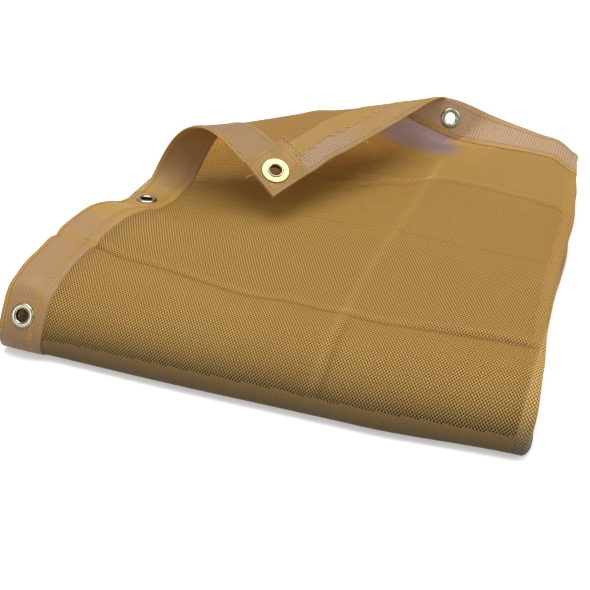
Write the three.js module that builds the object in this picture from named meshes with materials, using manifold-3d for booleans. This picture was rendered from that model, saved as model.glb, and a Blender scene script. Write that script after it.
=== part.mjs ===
// A mesh tarp with hemmed edges and metal eyelets, folded into a flat packet of eight layers,
// with the back left corner of the top layer curled over towards the front.
//
// Millimetres, +Z up, +X along the front fold, +Y towards the back. Lengths on the cloth are
// u, from its side edge, and v, from its back edge. The top layer lies flat first, then the
// corner is rolled over a fan of fold lines, which keeps every length on the cloth.

import * as THREE from 'three';
import { mergeVertices } from 'three/addons/utils/BufferGeometryUtils.js';
import Module from 'manifold-3d';

const wasm = await Module();
wasm.setup();

// Cloth and fittings
const GAP = 0.3;
const HEM = { width: 42, thick: 2.0 };
const MESH = { thick: 1.2 };
const PATCH = { size: 48, thick: 0.9 };
const EYELET = { bore: 6, wall: 0.6, flange: 11, rise: 1.7, rounding: 2, lip: 1.3, crimp: 0.9 };
const WASHER = { radius: 14, thick: 0.8, bevel: 0.4 };
const ROUND_SIDES = 20;
const BARREL = EYELET.bore + EYELET.wall;
const HOLE = BARREL + GAP;
const DRILL_LENGTH = 16;

// The packet in plan: where its four sides run
const SIDE = { lean: 0.046, tuck: 16, tuckFrom: 90, tuckOver: 130 };
const RIGHT = { x: 462, nested: 4 };
const RIGHT_EDGE = [
  { y: -6, x: 456 },
  { y: 18, x: 461.5 },
  { y: 60, x: 459.5 },
  { y: 120, x: 456 },
  { y: 210, x: 456 },
  { y: 300, x: 460 },
  { y: 350, x: 457.5 },
  { y: 448, x: 450 },
];
const INNER_LEFT = 8;
const FOLD_BULGE = 4.5;

// Height of the top layer over the floor, a row for each section from left to right
const CREST_Y = 60;
const SECTIONS = [
  { x: 0, crest: 63, crease: 65, middle: 66.5, rear: 42, rise: 37, back: 34 },
  { x: 90, crest: 58, crease: 56, middle: 60, rear: 42, rise: 40, back: 38 },
  { x: 200, crest: 51, crease: 49, middle: 54, rear: 51, rise: 49, back: 48 },
  { x: 320, crest: 51, crease: 52, middle: 56, rear: 55, rise: 53, back: 57 },
  { x: 400, crest: 51, crease: 53, middle: 56, rear: 54.5, rise: 53.5, back: 61.5 },
  { x: 425, crest: 51, crease: 53, middle: 56, rear: 54, rise: 52.5, back: 60 },
  { x: 462, crest: 51, crease: 53, middle: 56, rear: 54, rise: 51, back: 42 },
];
const SECTION_Y = { crest: CREST_Y, crease: 92, middle: 142, rear: 224, rise: 330, back: 430 };

// The rounded front fold: how far forward it reaches and how full its curve is
const NOSE = [
  { x: 0, front: -5, upper: 37, lower: 23 },
  { x: 150, front: -6, upper: 25, lower: 19 },
  { x: 330, front: -4, upper: 25, lower: 19 },
  { x: 462, front: 4.5, upper: 25, lower: 22 },
];
const NOSE_Z = 9;
const TOE = { depth: 12, ease: 0.45 };

// Two creases left from packing, as soft troughs or ridges of the top layer
const CREASES = [
  { left: 98, right: 80, depth: -2.2, spread: 7 },
  { left: 326, right: 318, depth: 1.6, spread: 6 },
];

// The layers from the outside in: each is the outer shell drawn in towards its middle
const LAYERS = [
  { shell: 1, backLeft: 471, backRight: 448, underLeft: 398, underRight: 410 },
  { shell: 5 / 7, backLeft: 409, backRight: 448, skewFrom: 290, underLeft: 405, underRight: 410 },
  { shell: 3 / 7, backLeft: 409, backRight: 414, skewFrom: 200, underLeft: 405, underRight: 408 },
  { shell: 1 / 7, backLeft: 404, backRight: 414, skewFrom: 200, underLeft: 400, underRight: 408 },
];
const BACK_X = { left: 37, right: 462 };

// The curled corner: fold lines fan from the side edge to the back edge of the cloth
const FAN = {
  lines: 14, turn: 202,
  side: { first: 232, last: 76, ease: 1.57 },
  back: { first: 481, last: 220, ease: 0.35 },
  droop: 14, droopLines: 3, droopAt: 42,
};

// Where the eyelets sit on the cloth; the one on the front fold is placed round the fold
const EYELETS = [
  { name: 'front', band: 'side', u: 21, nose: 0.76, under: HEM.thick / 2, flat: 22 },
  { name: 'side', band: 'side', u: 18, v: 262, under: HEM.thick / 2, flat: 20 },
  { name: 'corner', band: 'side', u: 20, v: 22, under: HEM.thick / 2 + GAP + PATCH.thick, flat: 22 },
  { name: 'back', band: 'end', u: 273, v: 22, under: HEM.thick / 2, flat: 26 },
];
const SEAT_BLEND = 18;
const NOSE_REACH = 0.05;

const MATERIALS = {
  mesh: new THREE.MeshStandardMaterial({ color: 0xb0884a, roughness: 0.75, metalness: 0 }),
  hem: new THREE.MeshStandardMaterial({ color: 0xbe9673, roughness: 0.6, metalness: 0 }),
  patch: new THREE.MeshStandardMaterial({ color: 0xae8448, roughness: 0.7, metalness: 0 }),
  metal: new THREE.MeshStandardMaterial({ color: 0xd8c890, roughness: 0.25, metalness: 1 }),
};

const clamp = (value) => Math.min(Math.max(value, 0), 1);
const smooth = (value) => clamp(value) ** 2 * (3 - 2 * clamp(value));
const lerp = (from, to, share) => from + (to - from) * share;
const vec = (x, y, z) => new THREE.Vector3(x, y, z);

// A column of one of the tables above at a place along its key, eased from row to row
function eased(table, key, column, at) {
  const place = THREE.MathUtils.clamp(at, table[0][key], table[table.length - 1][key]);
  const next = Math.max(1, table.findIndex((row) => row[key] >= place));
  const [a, b] = [table[next - 1], table[next]];
  return lerp(a[column], b[column], smooth((place - a[key]) / (b[key] - a[key])));
}

const across = (table, column, x) => eased(table, 'x', column, x);

const leftEdge = (y) => SIDE.lean * Math.max(y, 0) + SIDE.tuck * smooth((y - SIDE.tuckFrom) / SIDE.tuckOver);
const rightEdge = (y) => eased(RIGHT_EDGE, 'y', 'x', y);
const backAt = (x) => lerp(LAYERS[0].backLeft, LAYERS[0].backRight,
  (x - BACK_X.left) / (BACK_X.right - BACK_X.left));

// Height of the top layer's middle before the corner is curled
function height(x, y) {
  const names = Object.keys(SECTION_Y);
  const place = THREE.MathUtils.clamp(y, SECTION_Y.crest, SECTION_Y.back);
  const next = Math.max(1, names.findIndex((name) => SECTION_Y[name] >= place));
  const [a, b] = [names[next - 1], names[next]];
  const share = smooth((place - SECTION_Y[a]) / (SECTION_Y[b] - SECTION_Y[a]));
  return lerp(across(SECTIONS, a, x), across(SECTIONS, b, x), share);
}

function creaseRelief(x, y) {
  return CREASES.reduce((sum, crease) => {
    const off = (y - lerp(crease.left, crease.right, x / RIGHT.x)) / crease.spread;
    return sum + crease.depth * Math.exp(-off * off);
  }, 0);
}

// Plan of a point of the top layer before the curl, settled in a few rounds because the side
// edge leans and the back edge is skewed
const SETTLE = 8;

function plan(u, v) {
  let [x, y] = [u, 0];
  for (let step = 0; step < SETTLE; step += 1) {
    y = backAt(x) - v;
    x = leftEdge(y) + u;
  }
  return { x, y };
}

// The fold lines of the fan, from the foot of the curl to the drooping tip
const foldLines = [];
for (let line = 0; line < FAN.lines; line += 1) {
  const share = (line + 0.5) / FAN.lines;
  const start = plan(0, lerp(FAN.side.first, FAN.side.last, share ** FAN.side.ease));
  const end = plan(lerp(FAN.back.first, FAN.back.last, share ** FAN.back.ease), 0);
  const length = Math.hypot(end.x - start.x, end.y - start.y);
  const along = { x: (end.x - start.x) / length, y: (end.y - start.y) / length };
  foldLines.push({ start, along, turn: THREE.MathUtils.degToRad(FAN.turn) / FAN.lines });
}
const lastFold = foldLines[foldLines.length - 1];
for (let line = 0; line < FAN.droopLines; line += 1) {
  const off = FAN.droopAt * (line + 1) / 2;
  const start = {
    x: lastFold.start.x - lastFold.along.y * off,
    y: lastFold.start.y + lastFold.along.x * off,
  };
  const turn = THREE.MathUtils.degToRad(FAN.droop) / FAN.droopLines;
  foldLines.push({ start, along: lastFold.along, turn });
}

const beyond = (fold, x, y) => (y - fold.start.y) * fold.along.x - (x - fold.start.x) * fold.along.y;

// Top layer: turn the point about every fold line that it lies beyond, outermost first
function curled(x, y) {
  const point = vec(x, y, 0);
  for (let line = foldLines.length - 1; line >= 0; line -= 1) {
    const fold = foldLines[line];
    if (beyond(fold, x, y) <= 0) continue;
    const axis = vec(fold.along.x, fold.along.y, 0);
    const origin = vec(fold.start.x, fold.start.y, 0);
    point.sub(origin).applyAxisAngle(axis, fold.turn).add(origin);
  }
  const foot = foldLines[0];
  const past = Math.max(0, beyond(foot, x, y));
  const flatX = x + foot.along.y * past;
  const flatY = y - foot.along.x * past;
  point.z += height(flatX, flatY) + creaseRelief(flatX, flatY);
  return point;
}

// The front fold of the outer shell: upper curve from the crest, then the toe down to the floor
function noseCurve(x, share) {
  const front = across(NOSE, 'front', x);
  const crest = height(x, CREST_Y) + creaseRelief(x, CREST_Y);
  const curve = new THREE.CubicBezierCurve(
    new THREE.Vector2(CREST_Y, crest),
    new THREE.Vector2(CREST_Y - across(NOSE, 'upper', x), crest),
    new THREE.Vector2(front, NOSE_Z + across(NOSE, 'lower', x)),
    new THREE.Vector2(front, NOSE_Z),
  );
  return curve.getPoint(share);
}

function toeCurve(x, share, floor) {
  const front = across(NOSE, 'front', x);
  const curve = new THREE.CubicBezierCurve(
    new THREE.Vector2(front, NOSE_Z),
    new THREE.Vector2(front, lerp(floor, NOSE_Z, TOE.ease)),
    new THREE.Vector2(front + TOE.depth * TOE.ease, floor),
    new THREE.Vector2(front + TOE.depth, floor),
  );
  return curve.getPoint(share);
}

// Rows of the grid, from the back edge over the top, round the front and back underneath
const CURL_ROWS = 19;
const CURL_SPAN = 282;
const FRONT_ROWS = [112, 101, 92, 82, 72, CREST_Y];
const NOSE_ROWS = [0.2, 0.4, 0.56, 0.68, 0.78, 0.88, 1];
const TOE_ROWS = [0.35, 0.7, 1];
const THIRDS = [1 / 3, 2 / 3];
const hemSteps = [0, ...THIRDS, 1];
const rows = [];
hemSteps.forEach((step) => rows.push({ part: 'top', v: HEM.width * step, hem: 'back' }));
rows.push({ part: 'top', v: HEM.width + GAP });
for (let row = 1; row <= CURL_ROWS; row += 1) {
  rows.push({ part: 'top', v: lerp(HEM.width + GAP, CURL_SPAN, row / CURL_ROWS) });
}
THIRDS.forEach((share) => rows.push({ part: 'middle', share }));
FRONT_ROWS.forEach((y) => rows.push({ part: 'front', y }));
NOSE_ROWS.forEach((share) => rows.push({ part: 'nose', share }));
TOE_ROWS.forEach((share) => rows.push({ part: 'toe', share }));
THIRDS.forEach((share) => rows.push({ part: 'under', share }));
rows.push({ part: 'underHem', v: HEM.width + GAP });
[...hemSteps].reverse().forEach((step) => rows.push({ part: 'underHem', v: HEM.width * step, hem: 'far' }));

// A point of layer k at a share of its width; layer 0 takes u, a distance from the side edge
function layerPoint(k, share, row, floor, u) {
  const layer = LAYERS[k];
  const sideways = (x) => (x - BACK_X.left) / (BACK_X.right - BACK_X.left);
  const backLine = (x) => (k === 0 ? backAt(x) : lerp(layer.backLeft, layer.backRight,
    smooth((x - layer.skewFrom) / (BACK_X.right - layer.skewFrom))));
  const underLine = (x) => lerp(layer.underLeft, layer.underRight, sideways(x));
  const onTop = ['top', 'middle', 'front'].includes(row.part);
  const xAt = (y) => {
    if (k === 0) return leftEdge(onTop ? y : 0) + u;
    const outer = rightEdge(y) - (k > 1 ? RIGHT.nested : 0);
    const inner = SIDE.lean * Math.max(y, 0) + INNER_LEFT;
    return k % 2 ? lerp(outer, inner, share) : lerp(inner, outer, share);
  };
  if (row.part === 'nose' || row.part === 'toe') {
    const x = xAt(0);
    const outer = row.part === 'nose' ? noseCurve(x, row.share) : toeCurve(x, row.share, floor);
    const centre = (height(x, CREST_Y) + floor) / 2;
    return vec(x, CREST_Y + layer.shell * (outer.x - CREST_Y), centre + layer.shell * (outer.y - centre));
  }
  let [x, y] = [xAt(0), 0];
  for (let step = 0; step < SETTLE; step += 1) {
    if (row.part === 'top') y = backLine(x) - row.v;
    if (row.part === 'front') y = row.y;
    if (row.part === 'middle') {
      y = lerp(backLine(x) - CURL_SPAN, FRONT_ROWS[0], row.share);
    }
    if (row.part === 'underHem') y = underLine(x) - row.v;
    if (row.part === 'under') {
      const toe = CREST_Y + layer.shell * (across(NOSE, 'front', x) + TOE.depth - CREST_Y);
      y = lerp(toe, underLine(x) - HEM.width, row.share);
    }
    x = xAt(y);
  }
  if (k === 0 && !row.part.startsWith('under')) {
    const point = curled(x, y);
    point.cloth = { u, v: backLine(x) - y };
    return point;
  }
  const centre = (height(x, y) + floor) / 2;
  const outer = row.part.startsWith('under') ? floor : height(x, y);
  return vec(x, y, centre + layer.shell * (outer - centre));
}

// How wide the top layer is along a row, from its side edge to the fold on the right
function widthAt(row, floor) {
  let u = RIGHT.x - INNER_LEFT;
  for (let step = 0; step < SETTLE; step += 1) {
    const flat = row.part === 'top' ? plan(u, row.v) : layerPoint(0, 0, row, floor, u);
    u += rightEdge(flat.y) - flat.x;
  }
  return u;
}

// Columns of the grid, across the first layer and back and forth through the others
const TOP_COLUMNS = 21;
const INNER_COLUMNS = 4;
const TURN_STEPS = 5;
const sideColumns = hemSteps.map((step) => ({ layer: 0, u: HEM.width * step }));
const panelColumns = [];
for (let column = 0; column <= TOP_COLUMNS; column += 1) {
  panelColumns.push({ layer: 0, share: column / TOP_COLUMNS });
}
const lastShare = 1 - (HEM.width + GAP) / (RIGHT.x - INNER_LEFT);
for (let layer = 1; layer < LAYERS.length; layer += 1) {
  for (let step = 1; step < TURN_STEPS; step += 1) {
    panelColumns.push({ turn: layer, angle: Math.PI * step / TURN_STEPS });
  }
  const end = layer === LAYERS.length - 1 ? lastShare : 1;
  for (let column = 0; column <= INNER_COLUMNS; column += 1) {
    panelColumns.push({ layer, share: end * column / INNER_COLUMNS });
  }
}
const farColumns = [0, 0.5, 1].map((step) => ({
  layer: LAYERS.length - 1, share: 1 - HEM.width / (RIGHT.x - INNER_LEFT) * (1 - step),
}));
const allColumns = [...sideColumns, ...panelColumns, ...farColumns];

// Where two pieces meet along a seam, the next line of the grid is the one past the seam
function markSeam(before, after) {
  before.seam = 1;
  after.seam = -1;
}
markSeam(sideColumns[sideColumns.length - 1], panelColumns[0]);
markSeam(panelColumns[panelColumns.length - 1], farColumns[0]);
const underSeam = rows.findIndex((row) => row.part === 'underHem');
markSeam(rows[hemSteps.length - 1], rows[hemSteps.length]);
markSeam(rows[underSeam], rows[underSeam + 1]);

function neighbour(list, item, step) {
  const at = list.indexOf(item);
  const next = at + (item.seam === step ? 2 * step : step);
  return list[THREE.MathUtils.clamp(next, 0, list.length - 1)];
}

function columnPoint(column, row, floor) {
  if (column.turn !== undefined) {
    const from = columnPoint({ layer: column.turn - 1, share: 1 }, row, floor);
    const to = columnPoint({ layer: column.turn, share: 0 }, row, floor);
    const middle = from.clone().add(to).multiplyScalar(0.5);
    const side = column.turn % 2 ? 1 : -1;
    return middle.clone().addScaledVector(from.sub(middle), Math.cos(column.angle))
      .add(vec(side * FOLD_BULGE * Math.sin(column.angle), 0, 0));
  }
  if (column.layer > 0) return layerPoint(column.layer, column.share, row, floor);
  const u = column.u ?? lerp(HEM.width + GAP, widthAt(row, floor), column.share);
  return layerPoint(0, 0, row, floor, u);
}

// The frame of each eyelet: its centre, and the cloth's normal as its barrel's reach gives it
const seats = EYELETS.map((eyelet) => {
  const rowPast = (step) => (eyelet.nose
    ? { part: 'nose', share: eyelet.nose + step * NOSE_REACH }
    : { part: 'top', v: eyelet.v + step * EYELET.bore });
  const at = (step, du) => layerPoint(0, 0, rowPast(step), HEM.thick / 2, eyelet.u + du);
  const right = at(0, EYELET.bore).sub(at(0, -EYELET.bore));
  const back = at(-1, 0).sub(at(1, 0));
  return { ...eyelet, centre: at(0, 0), normal: right.cross(back).normalize() };
});

// The cloth is pressed flat under each eyelet
function seated(point) {
  seats.forEach((seat) => {
    if (Boolean(point.cloth) === Boolean(seat.nose)) return;
    const off = point.clone().sub(seat.centre);
    const away = seat.nose ? off.length() : Math.hypot(point.cloth.u - seat.u, point.cloth.v - seat.v);
    const share = 1 - smooth((away - seat.flat) / SEAT_BLEND);
    point.addScaledVector(seat.normal, -off.dot(seat.normal) * share);
  });
  return point;
}

// A closed sheet: the grid of middle points, moved out by half the thickness on both faces.
// Each cell is split along the fold lines of the curl.
function sheet(columns, rowList, thick, offset = 0, nearColumns = allColumns, nearRows = rows) {
  const half = thick / 2;
  const pointAt = (column, row) => {
    const point = columnPoint(column, row, half);
    return column.layer === 0 && !row.part.startsWith('under') ? seated(point) : point;
  };
  const grid = rowList.map((row) => columns.map((column) => pointAt(column, row)));
  const [tall, wide] = [rowList.length, columns.length];
  const positions = [];
  const normals = rowList.map((row) => columns.map((column) => {
    const alongU = pointAt(neighbour(nearColumns, column, 1), row)
      .sub(pointAt(neighbour(nearColumns, column, -1), row));
    const alongV = pointAt(column, neighbour(nearRows, row, -1))
      .sub(pointAt(column, neighbour(nearRows, row, 1)));
    return alongU.cross(alongV).normalize();
  }));
  [offset + half, offset - half].forEach((shift) => grid.forEach((line, r) => line.forEach((point, c) => {
    positions.push(...point.clone().addScaledVector(normals[r][c], shift).toArray());
  })));
  const index = [];
  const at = (face, r, c) => face * tall * wide + r * wide + c;
  const quad = (a, b, c, d) => index.push(a, b, c, a, c, d);
  for (let r = 0; r + 1 < tall; r += 1) {
    for (let c = 0; c + 1 < wide; c += 1) {
      quad(at(0, r + 1, c), at(0, r + 1, c + 1), at(0, r, c + 1), at(0, r, c));
      quad(at(1, r, c + 1), at(1, r + 1, c + 1), at(1, r + 1, c), at(1, r, c));
    }
  }
  for (let c = 0; c + 1 < wide; c += 1) {
    quad(at(0, 0, c), at(0, 0, c + 1), at(1, 0, c + 1), at(1, 0, c));
    quad(at(0, tall - 1, c + 1), at(0, tall - 1, c), at(1, tall - 1, c), at(1, tall - 1, c + 1));
  }
  for (let r = 0; r + 1 < tall; r += 1) {
    quad(at(0, r + 1, 0), at(0, r, 0), at(1, r, 0), at(1, r + 1, 0));
    quad(at(0, r, wide - 1), at(0, r + 1, wide - 1), at(1, r + 1, wide - 1), at(1, r, wide - 1));
  }
  const geometry = new THREE.BufferGeometry();
  geometry.setAttribute('position', new THREE.Float32BufferAttribute(positions, 3));
  geometry.setIndex(index);
  return geometry;
}

function solid(geometry) {
  const bare = geometry.clone();
  bare.deleteAttribute('normal');
  bare.deleteAttribute('uv');
  const merged = mergeVertices(bare, 1e-4);
  return new wasm.Manifold(new wasm.Mesh({
    numProp: 3,
    vertProperties: new Float32Array(merged.attributes.position.array),
    triVerts: new Uint32Array(merged.index.array),
  }));
}

function geometryOf(body) {
  const result = body.getMesh();
  const geometry = new THREE.BufferGeometry();
  geometry.setAttribute('position', new THREE.Float32BufferAttribute(result.vertProperties, 3));
  geometry.setIndex([...result.triVerts]);
  return geometry;
}

const turnTo = (seat) => new THREE.Quaternion().setFromUnitVectors(vec(0, 1, 0), seat.normal);

// Punch the holes of the named eyelets through a sheet
function punched(geometry, names) {
  let body = solid(geometry);
  seats.filter((seat) => names.includes(seat.name)).forEach((seat) => {
    const drill = new THREE.CylinderGeometry(HOLE, HOLE, DRILL_LENGTH, ROUND_SIDES);
    drill.applyQuaternion(turnTo(seat));
    drill.translate(...seat.centre.toArray());
    body = body.subtract(solid(drill));
  });
  return geometryOf(body);
}

// Flange and barrel in one: up the bore, over the rounded flange, down the barrel and round the
// lip that is rolled over the washer
function eyeletGeometry(seat) {
  const cloth = HEM.thick / 2 + GAP;
  const crown = cloth + EYELET.rise;
  const lip = -(seat.under + WASHER.thick + 2 * GAP);
  const rolled = BARREL + EYELET.lip;
  const profile = [
    [EYELET.bore, lip - EYELET.crimp / 2],
    [BARREL, lip - EYELET.crimp],
    [rolled, lip - EYELET.crimp / 2],
    [rolled, lip],
    [BARREL, lip],
    [BARREL, cloth],
    [EYELET.flange, cloth],
    [EYELET.flange - EYELET.rounding / 4, lerp(cloth, crown, 0.6)],
    [EYELET.flange - EYELET.rounding, crown],
    [BARREL + EYELET.wall, crown],
    [EYELET.bore, lerp(cloth, crown, 0.4)],
    [EYELET.bore, lip - EYELET.crimp / 2],
  ].map(([r, h]) => new THREE.Vector2(r, h));
  return new THREE.LatheGeometry(profile, ROUND_SIDES);
}

function washerGeometry(seat) {
  const top = -(seat.under + GAP);
  const bottom = top - WASHER.thick;
  const profile = [
    [HOLE, top],
    [HOLE, bottom],
    [WASHER.radius - WASHER.bevel, bottom],
    [WASHER.radius, bottom + WASHER.bevel],
    [WASHER.radius, top],
    [HOLE, top],
  ].map(([r, h]) => new THREE.Vector2(r, h));
  return new THREE.LatheGeometry(profile, ROUND_SIDES);
}

const tarp = new THREE.Group();

function add(name, geometry, material, seat) {
  const mesh = new THREE.Mesh(geometry, MATERIALS[material]);
  mesh.name = name;
  if (seat) {
    mesh.position.copy(seat.centre);
    mesh.quaternion.copy(turnTo(seat));
  }
  tarp.add(mesh);
}

const backHem = rows.filter((row) => row.hem === 'back');
const farHem = rows.filter((row) => row.hem === 'far');
const open = rows.filter((row) => !row.hem);
const sideHoles = EYELETS.filter((eyelet) => eyelet.band === 'side').map((eyelet) => eyelet.name);

add('mesh_panel', sheet(panelColumns, open, MESH.thick), 'mesh');
add('side_band', punched(sheet(sideColumns, rows, HEM.thick), sideHoles), 'hem');
add('end_band', punched(sheet(panelColumns, backHem, HEM.thick), ['back']), 'hem');
add('far_end_band', sheet(panelColumns, farHem, HEM.thick), 'hem');
add('far_side_band', sheet(farColumns, rows, HEM.thick), 'hem');

const patchRows = [...backHem, { part: 'top', v: PATCH.size }];
const patchColumns = [...sideColumns, { layer: 0, u: PATCH.size }];
const patchOffset = -(HEM.thick / 2 + GAP + PATCH.thick / 2);
const patch = sheet(patchColumns, patchRows, PATCH.thick, patchOffset, patchColumns, patchRows);
add('corner_patch', punched(patch, ['corner']), 'patch');

seats.forEach((seat) => {
  add(`eyelet_${seat.name}`, eyeletGeometry(seat), 'metal', seat);
  add(`washer_${seat.name}`, washerGeometry(seat), 'metal', seat);
});

// The origin is the middle of the packet's box, on the floor
const box = new THREE.Box3().setFromObject(tarp, true);
const middle = box.getCenter(vec(0, 0, 0));
const part = new THREE.Group();
tarp.position.set(-middle.x, -middle.y, -box.min.z);
part.add(tarp);

export default part;
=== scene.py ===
"""A folded mesh tarp with ribbed hems and metal eyelets, one corner of it curled over.

Lengths in the shape functions are millimetres. A place on the cloth is u, its distance from the
side edge, and v, its distance from the back edge. A place in the packet is x, y and z, measured
from the packet's front left corner on the floor.
"""
import math
from functools import lru_cache, partial

import bpy
import numpy as np
from bpy.props import FloatProperty, FloatVectorProperty, PointerProperty
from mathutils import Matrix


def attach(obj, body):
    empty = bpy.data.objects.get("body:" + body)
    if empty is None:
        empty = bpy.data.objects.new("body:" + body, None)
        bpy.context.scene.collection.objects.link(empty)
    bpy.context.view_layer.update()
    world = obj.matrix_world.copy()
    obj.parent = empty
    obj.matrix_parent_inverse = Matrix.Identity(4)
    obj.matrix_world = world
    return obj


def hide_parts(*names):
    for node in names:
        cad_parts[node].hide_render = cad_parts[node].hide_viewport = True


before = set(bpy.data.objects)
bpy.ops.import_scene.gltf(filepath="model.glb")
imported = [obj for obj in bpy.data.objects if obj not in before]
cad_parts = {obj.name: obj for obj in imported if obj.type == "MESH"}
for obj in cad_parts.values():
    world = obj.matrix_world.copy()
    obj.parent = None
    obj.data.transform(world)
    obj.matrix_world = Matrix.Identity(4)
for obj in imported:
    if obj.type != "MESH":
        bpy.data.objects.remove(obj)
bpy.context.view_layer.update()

bl_info = {
    "name": "Folded mesh tarp",
    "version": (1, 0, 0),
    "blender": (4, 5, 0),
    "location": "View3D > Sidebar > Tarp",
    "description": "Builds a folded mesh tarp with hems, stitching and eyelets",
    "category": "Object",
}

MM = 0.001
PLAN_ORIGIN = np.array((-232.28, -220.25, 0.0))
BODY = "root"
# Rounds in which x and y of a place settle on each other
SETTLE = 8

# The packet in plan
CREST_Y = 60.0
SIDE = {"lean": 0.046, "tuck": 16.0, "from": 90.0, "over": 130.0}
RIGHT = {
    "y": (-6, 18, 60, 120, 210, 300, 350, 448),
    "x": (456, 461.5, 459.5, 456, 456, 460, 457.5, 450),
    "nested": 4.0,
}
WIDTH = 462.0
INNER_LEFT = 8.0
BACK_X = (37.0, 462.0)
FOLD_BULGE = 4.5
# Length of cloth in the half turn of a side fold
TURN_LENGTH = 13.0
# How near a side fold light reaches the inside, beyond which the layers get painted shade, and how
# near one the top layer's holes are closed with dim yarn, painted shade
DARK_FROM = 7.0
CLOSED_FROM = 5.0
# Where the fine relief fades out round the front fold, as length past the crest, and how slowly
RELIEF_TO = 55.0
RELIEF_FADE = 30.0
# How much of the relief's upward direction is left on the lower half of the front fold
UPWARD_LEFT = 0.15
# Where the mesh stands up against the light and gets a painted greyish see-through shade, in metres along u
# and along v
SHEER = ((0.195, 0.292), (0.03, 0.071))
# How far past that zone its holes are closed, along u and along v
SHEER_PAST = (34, 12)
# Height under which the front fold's holes are closed with dim yarn, painted shade
LOW_FRONT = 22.0
# Share of the curl's turn past which the corner is turned right over
FLAP_FROM = 0.55
# The top layer keeps its length along v up to here, and what is spare is eased to the crest
CURL_SPAN = 282.0
CLOTH_LENGTH = 900.0
# Height of the cloth's middle where it lies on the floor
MIDDLE_FLOOR = 1.0

# Height of the top layer over the floor, a column for each section from left to right
SECTION_X = (0, 90, 200, 320, 400, 425, 462)
SECTIONS = {
    60: (63, 58, 51, 51, 51, 51, 51),
    92: (65, 56, 49, 52, 53, 53, 53),
    142: (66.5, 60, 54, 56, 56, 56, 56),
    224: (42, 42, 51, 55, 54.5, 54, 54),
    330: (37, 40, 49, 53, 53.5, 52.5, 51),
    430: (34, 38, 48, 57, 61.5, 60, 42),
}

# The rounded front fold, a column for each section from left to right
NOSE_X = (0, 150, 330, 462)
NOSE = {"front": (-5, -6, -4, 4.5), "upper": (37, 25, 25, 25), "lower": (23, 19, 19, 22)}
NOSE_Z = 9.0
TOE = {"depth": 12.0, "ease": 0.45}

# The layers from the outside in
LAYERS = (
    {"shell": 1.0, "back": (471, 448), "under": (398, 410)},
    {"shell": 5 / 7, "back": (409, 448), "skew_from": 290, "under": (405, 410)},
    {"shell": 3 / 7, "back": (409, 414), "skew_from": 200, "under": (405, 408)},
    {"shell": 1 / 7, "back": (404, 414), "skew_from": 200, "under": (400, 408)},
)

# The curled corner: fold lines fan from the side edge to the back edge of the cloth. Side and back
# are where the first and the last line meet those edges, and foot is where the curl begins.
FAN = {
    "lines": 56, "turn": 202.0, "foot": 1 / 28,
    "side": (232, 76), "side_ease": 1.57,
    "back": (481, 220), "back_ease": 0.35,
    "droop": 14.0, "droop_lines": 9, "droop_at": 42.0,
}

# Creases pressed into the top layer: plan y at the left and at the right, and their relief
CREASES = (
    {"left": 98, "right": 80, "depth": -2.2, "spread": 7},
    {"left": 326, "right": 318, "depth": 1.6, "spread": 6},
)

# Finer creases of the top layer. Each runs through places: its y at stations of x, or its x at
# stations of y, where y goes on round the front fold below zero. Its strokes are narrow Vs that lie
# so far aside of the line.
# Each stroke's shade is painted into the yarn's colour: darker above zero, a painted highlight below zero
FINE_CREASES = (
    {"over": "x", "at": (0, 40, 75, 133, 220, 330, 400, 450), "line": (97, 97, 92, 88, 82, 79, 84, 86),
     "strokes": (
         {"aside": 0, "rise": -1.7, "spread": 3.4, "shade": 0.5, "ends": (-20, 470)},
         {"aside": 6, "rise": 0.9, "spread": 5.0, "shade": -0.22, "ends": (-20, 470)})},
    {"over": "x", "at": (200, 234, 282, 331, 368, 406, 443, 456),
     "line": (285, 302, 316, 338, 334, 328, 321, 311),
     "strokes": (
         {"aside": 0, "rise": 1.5, "spread": 4.2, "shade": -0.2, "ends": (190, 470)},
         {"aside": -7, "rise": -1.1, "spread": 3.2, "shade": 0.36, "ends": (230, 470)})},
    {"over": "y", "at": (-60, -20, 20, 83, 180, 280, 370), "line": (284, 286, 289, 292, 300, 309, 316),
     "strokes": (
         {"aside": 0, "rise": 1.7, "spread": 6.5, "shade": -0.24, "ends": (-30, 385)},
         {"aside": 8, "rise": -1.4, "spread": 4.0, "shade": 0.36, "ends": (-30, 84)})},
)
# Length over which a stroke fades at its ends, how round its V is, and how sharp its painted shade
CREASE_FADE = 25.0
CREASE_ROUND = 0.25
PAINTED_SHADE_SHARPNESS = 1.6
# The fine relief fades from so far before the foot of the curl, over this length
CURL_FADE = {"before": 4.0, "over": 22.0}
# Slack of the cloth between the creases: height, x and y wavelengths, and where each wave begins
WAVES = ((0.55, 150, 210, 1.3), (0.45, 96, 130, 0.4), (0.3, 61, -83, 2.2))

# Where the eyelets sit on the cloth, and how far the cloth lies flat round each
SEATS = (
    {"name": "front", "u": 21, "past_crest": 62, "under": 1.0, "flat": 22},
    {"name": "side", "u": 18, "v": 262, "under": 1.0, "flat": 20},
    {"name": "corner", "u": 20, "v": 22, "under": 2.2, "flat": 22},
    {"name": "back", "u": 273, "v": 22, "under": 1.0, "flat": 26},
)
SEAT_BLEND = 18.0
HOLE_RADIUS = 8.4
# How far apart the cloth is read for its direction, at a seat and along a thread
SEAT_REACH = 6.0
FRAME_STEP = 0.6
# How finely uneven steps are worked out
LOOK_STEP = 0.25
# The size of the holes near the back hem, and from which v on and over what length they open
PULLED = {"size": 0.42, "from": 100, "over": 60}
# Face marks of the weave, which are its material numbers, and the mark of a hole that has no face.
# DIM faces, and GAP faces in the top layer, carry painted shade.
YARN, GAP, DIM, OPEN = 0, 1, 2, -1


def mm(name):
    """One of the panel's lengths, in millimetres."""
    return getattr(bpy.context.scene.tarp_sizes, name) / MM


def smooth(share):
    """Zero to one with level ends."""
    share = np.clip(share, 0, 1)
    return share * share * (3 - 2 * share)


def lerp(low, high, share):
    return low + (high - low) * share


def unit(vectors):
    """The same directions at a length of one."""
    return vectors / np.maximum(np.linalg.norm(vectors, axis=-1, keepdims=True), 1e-9)


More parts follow.
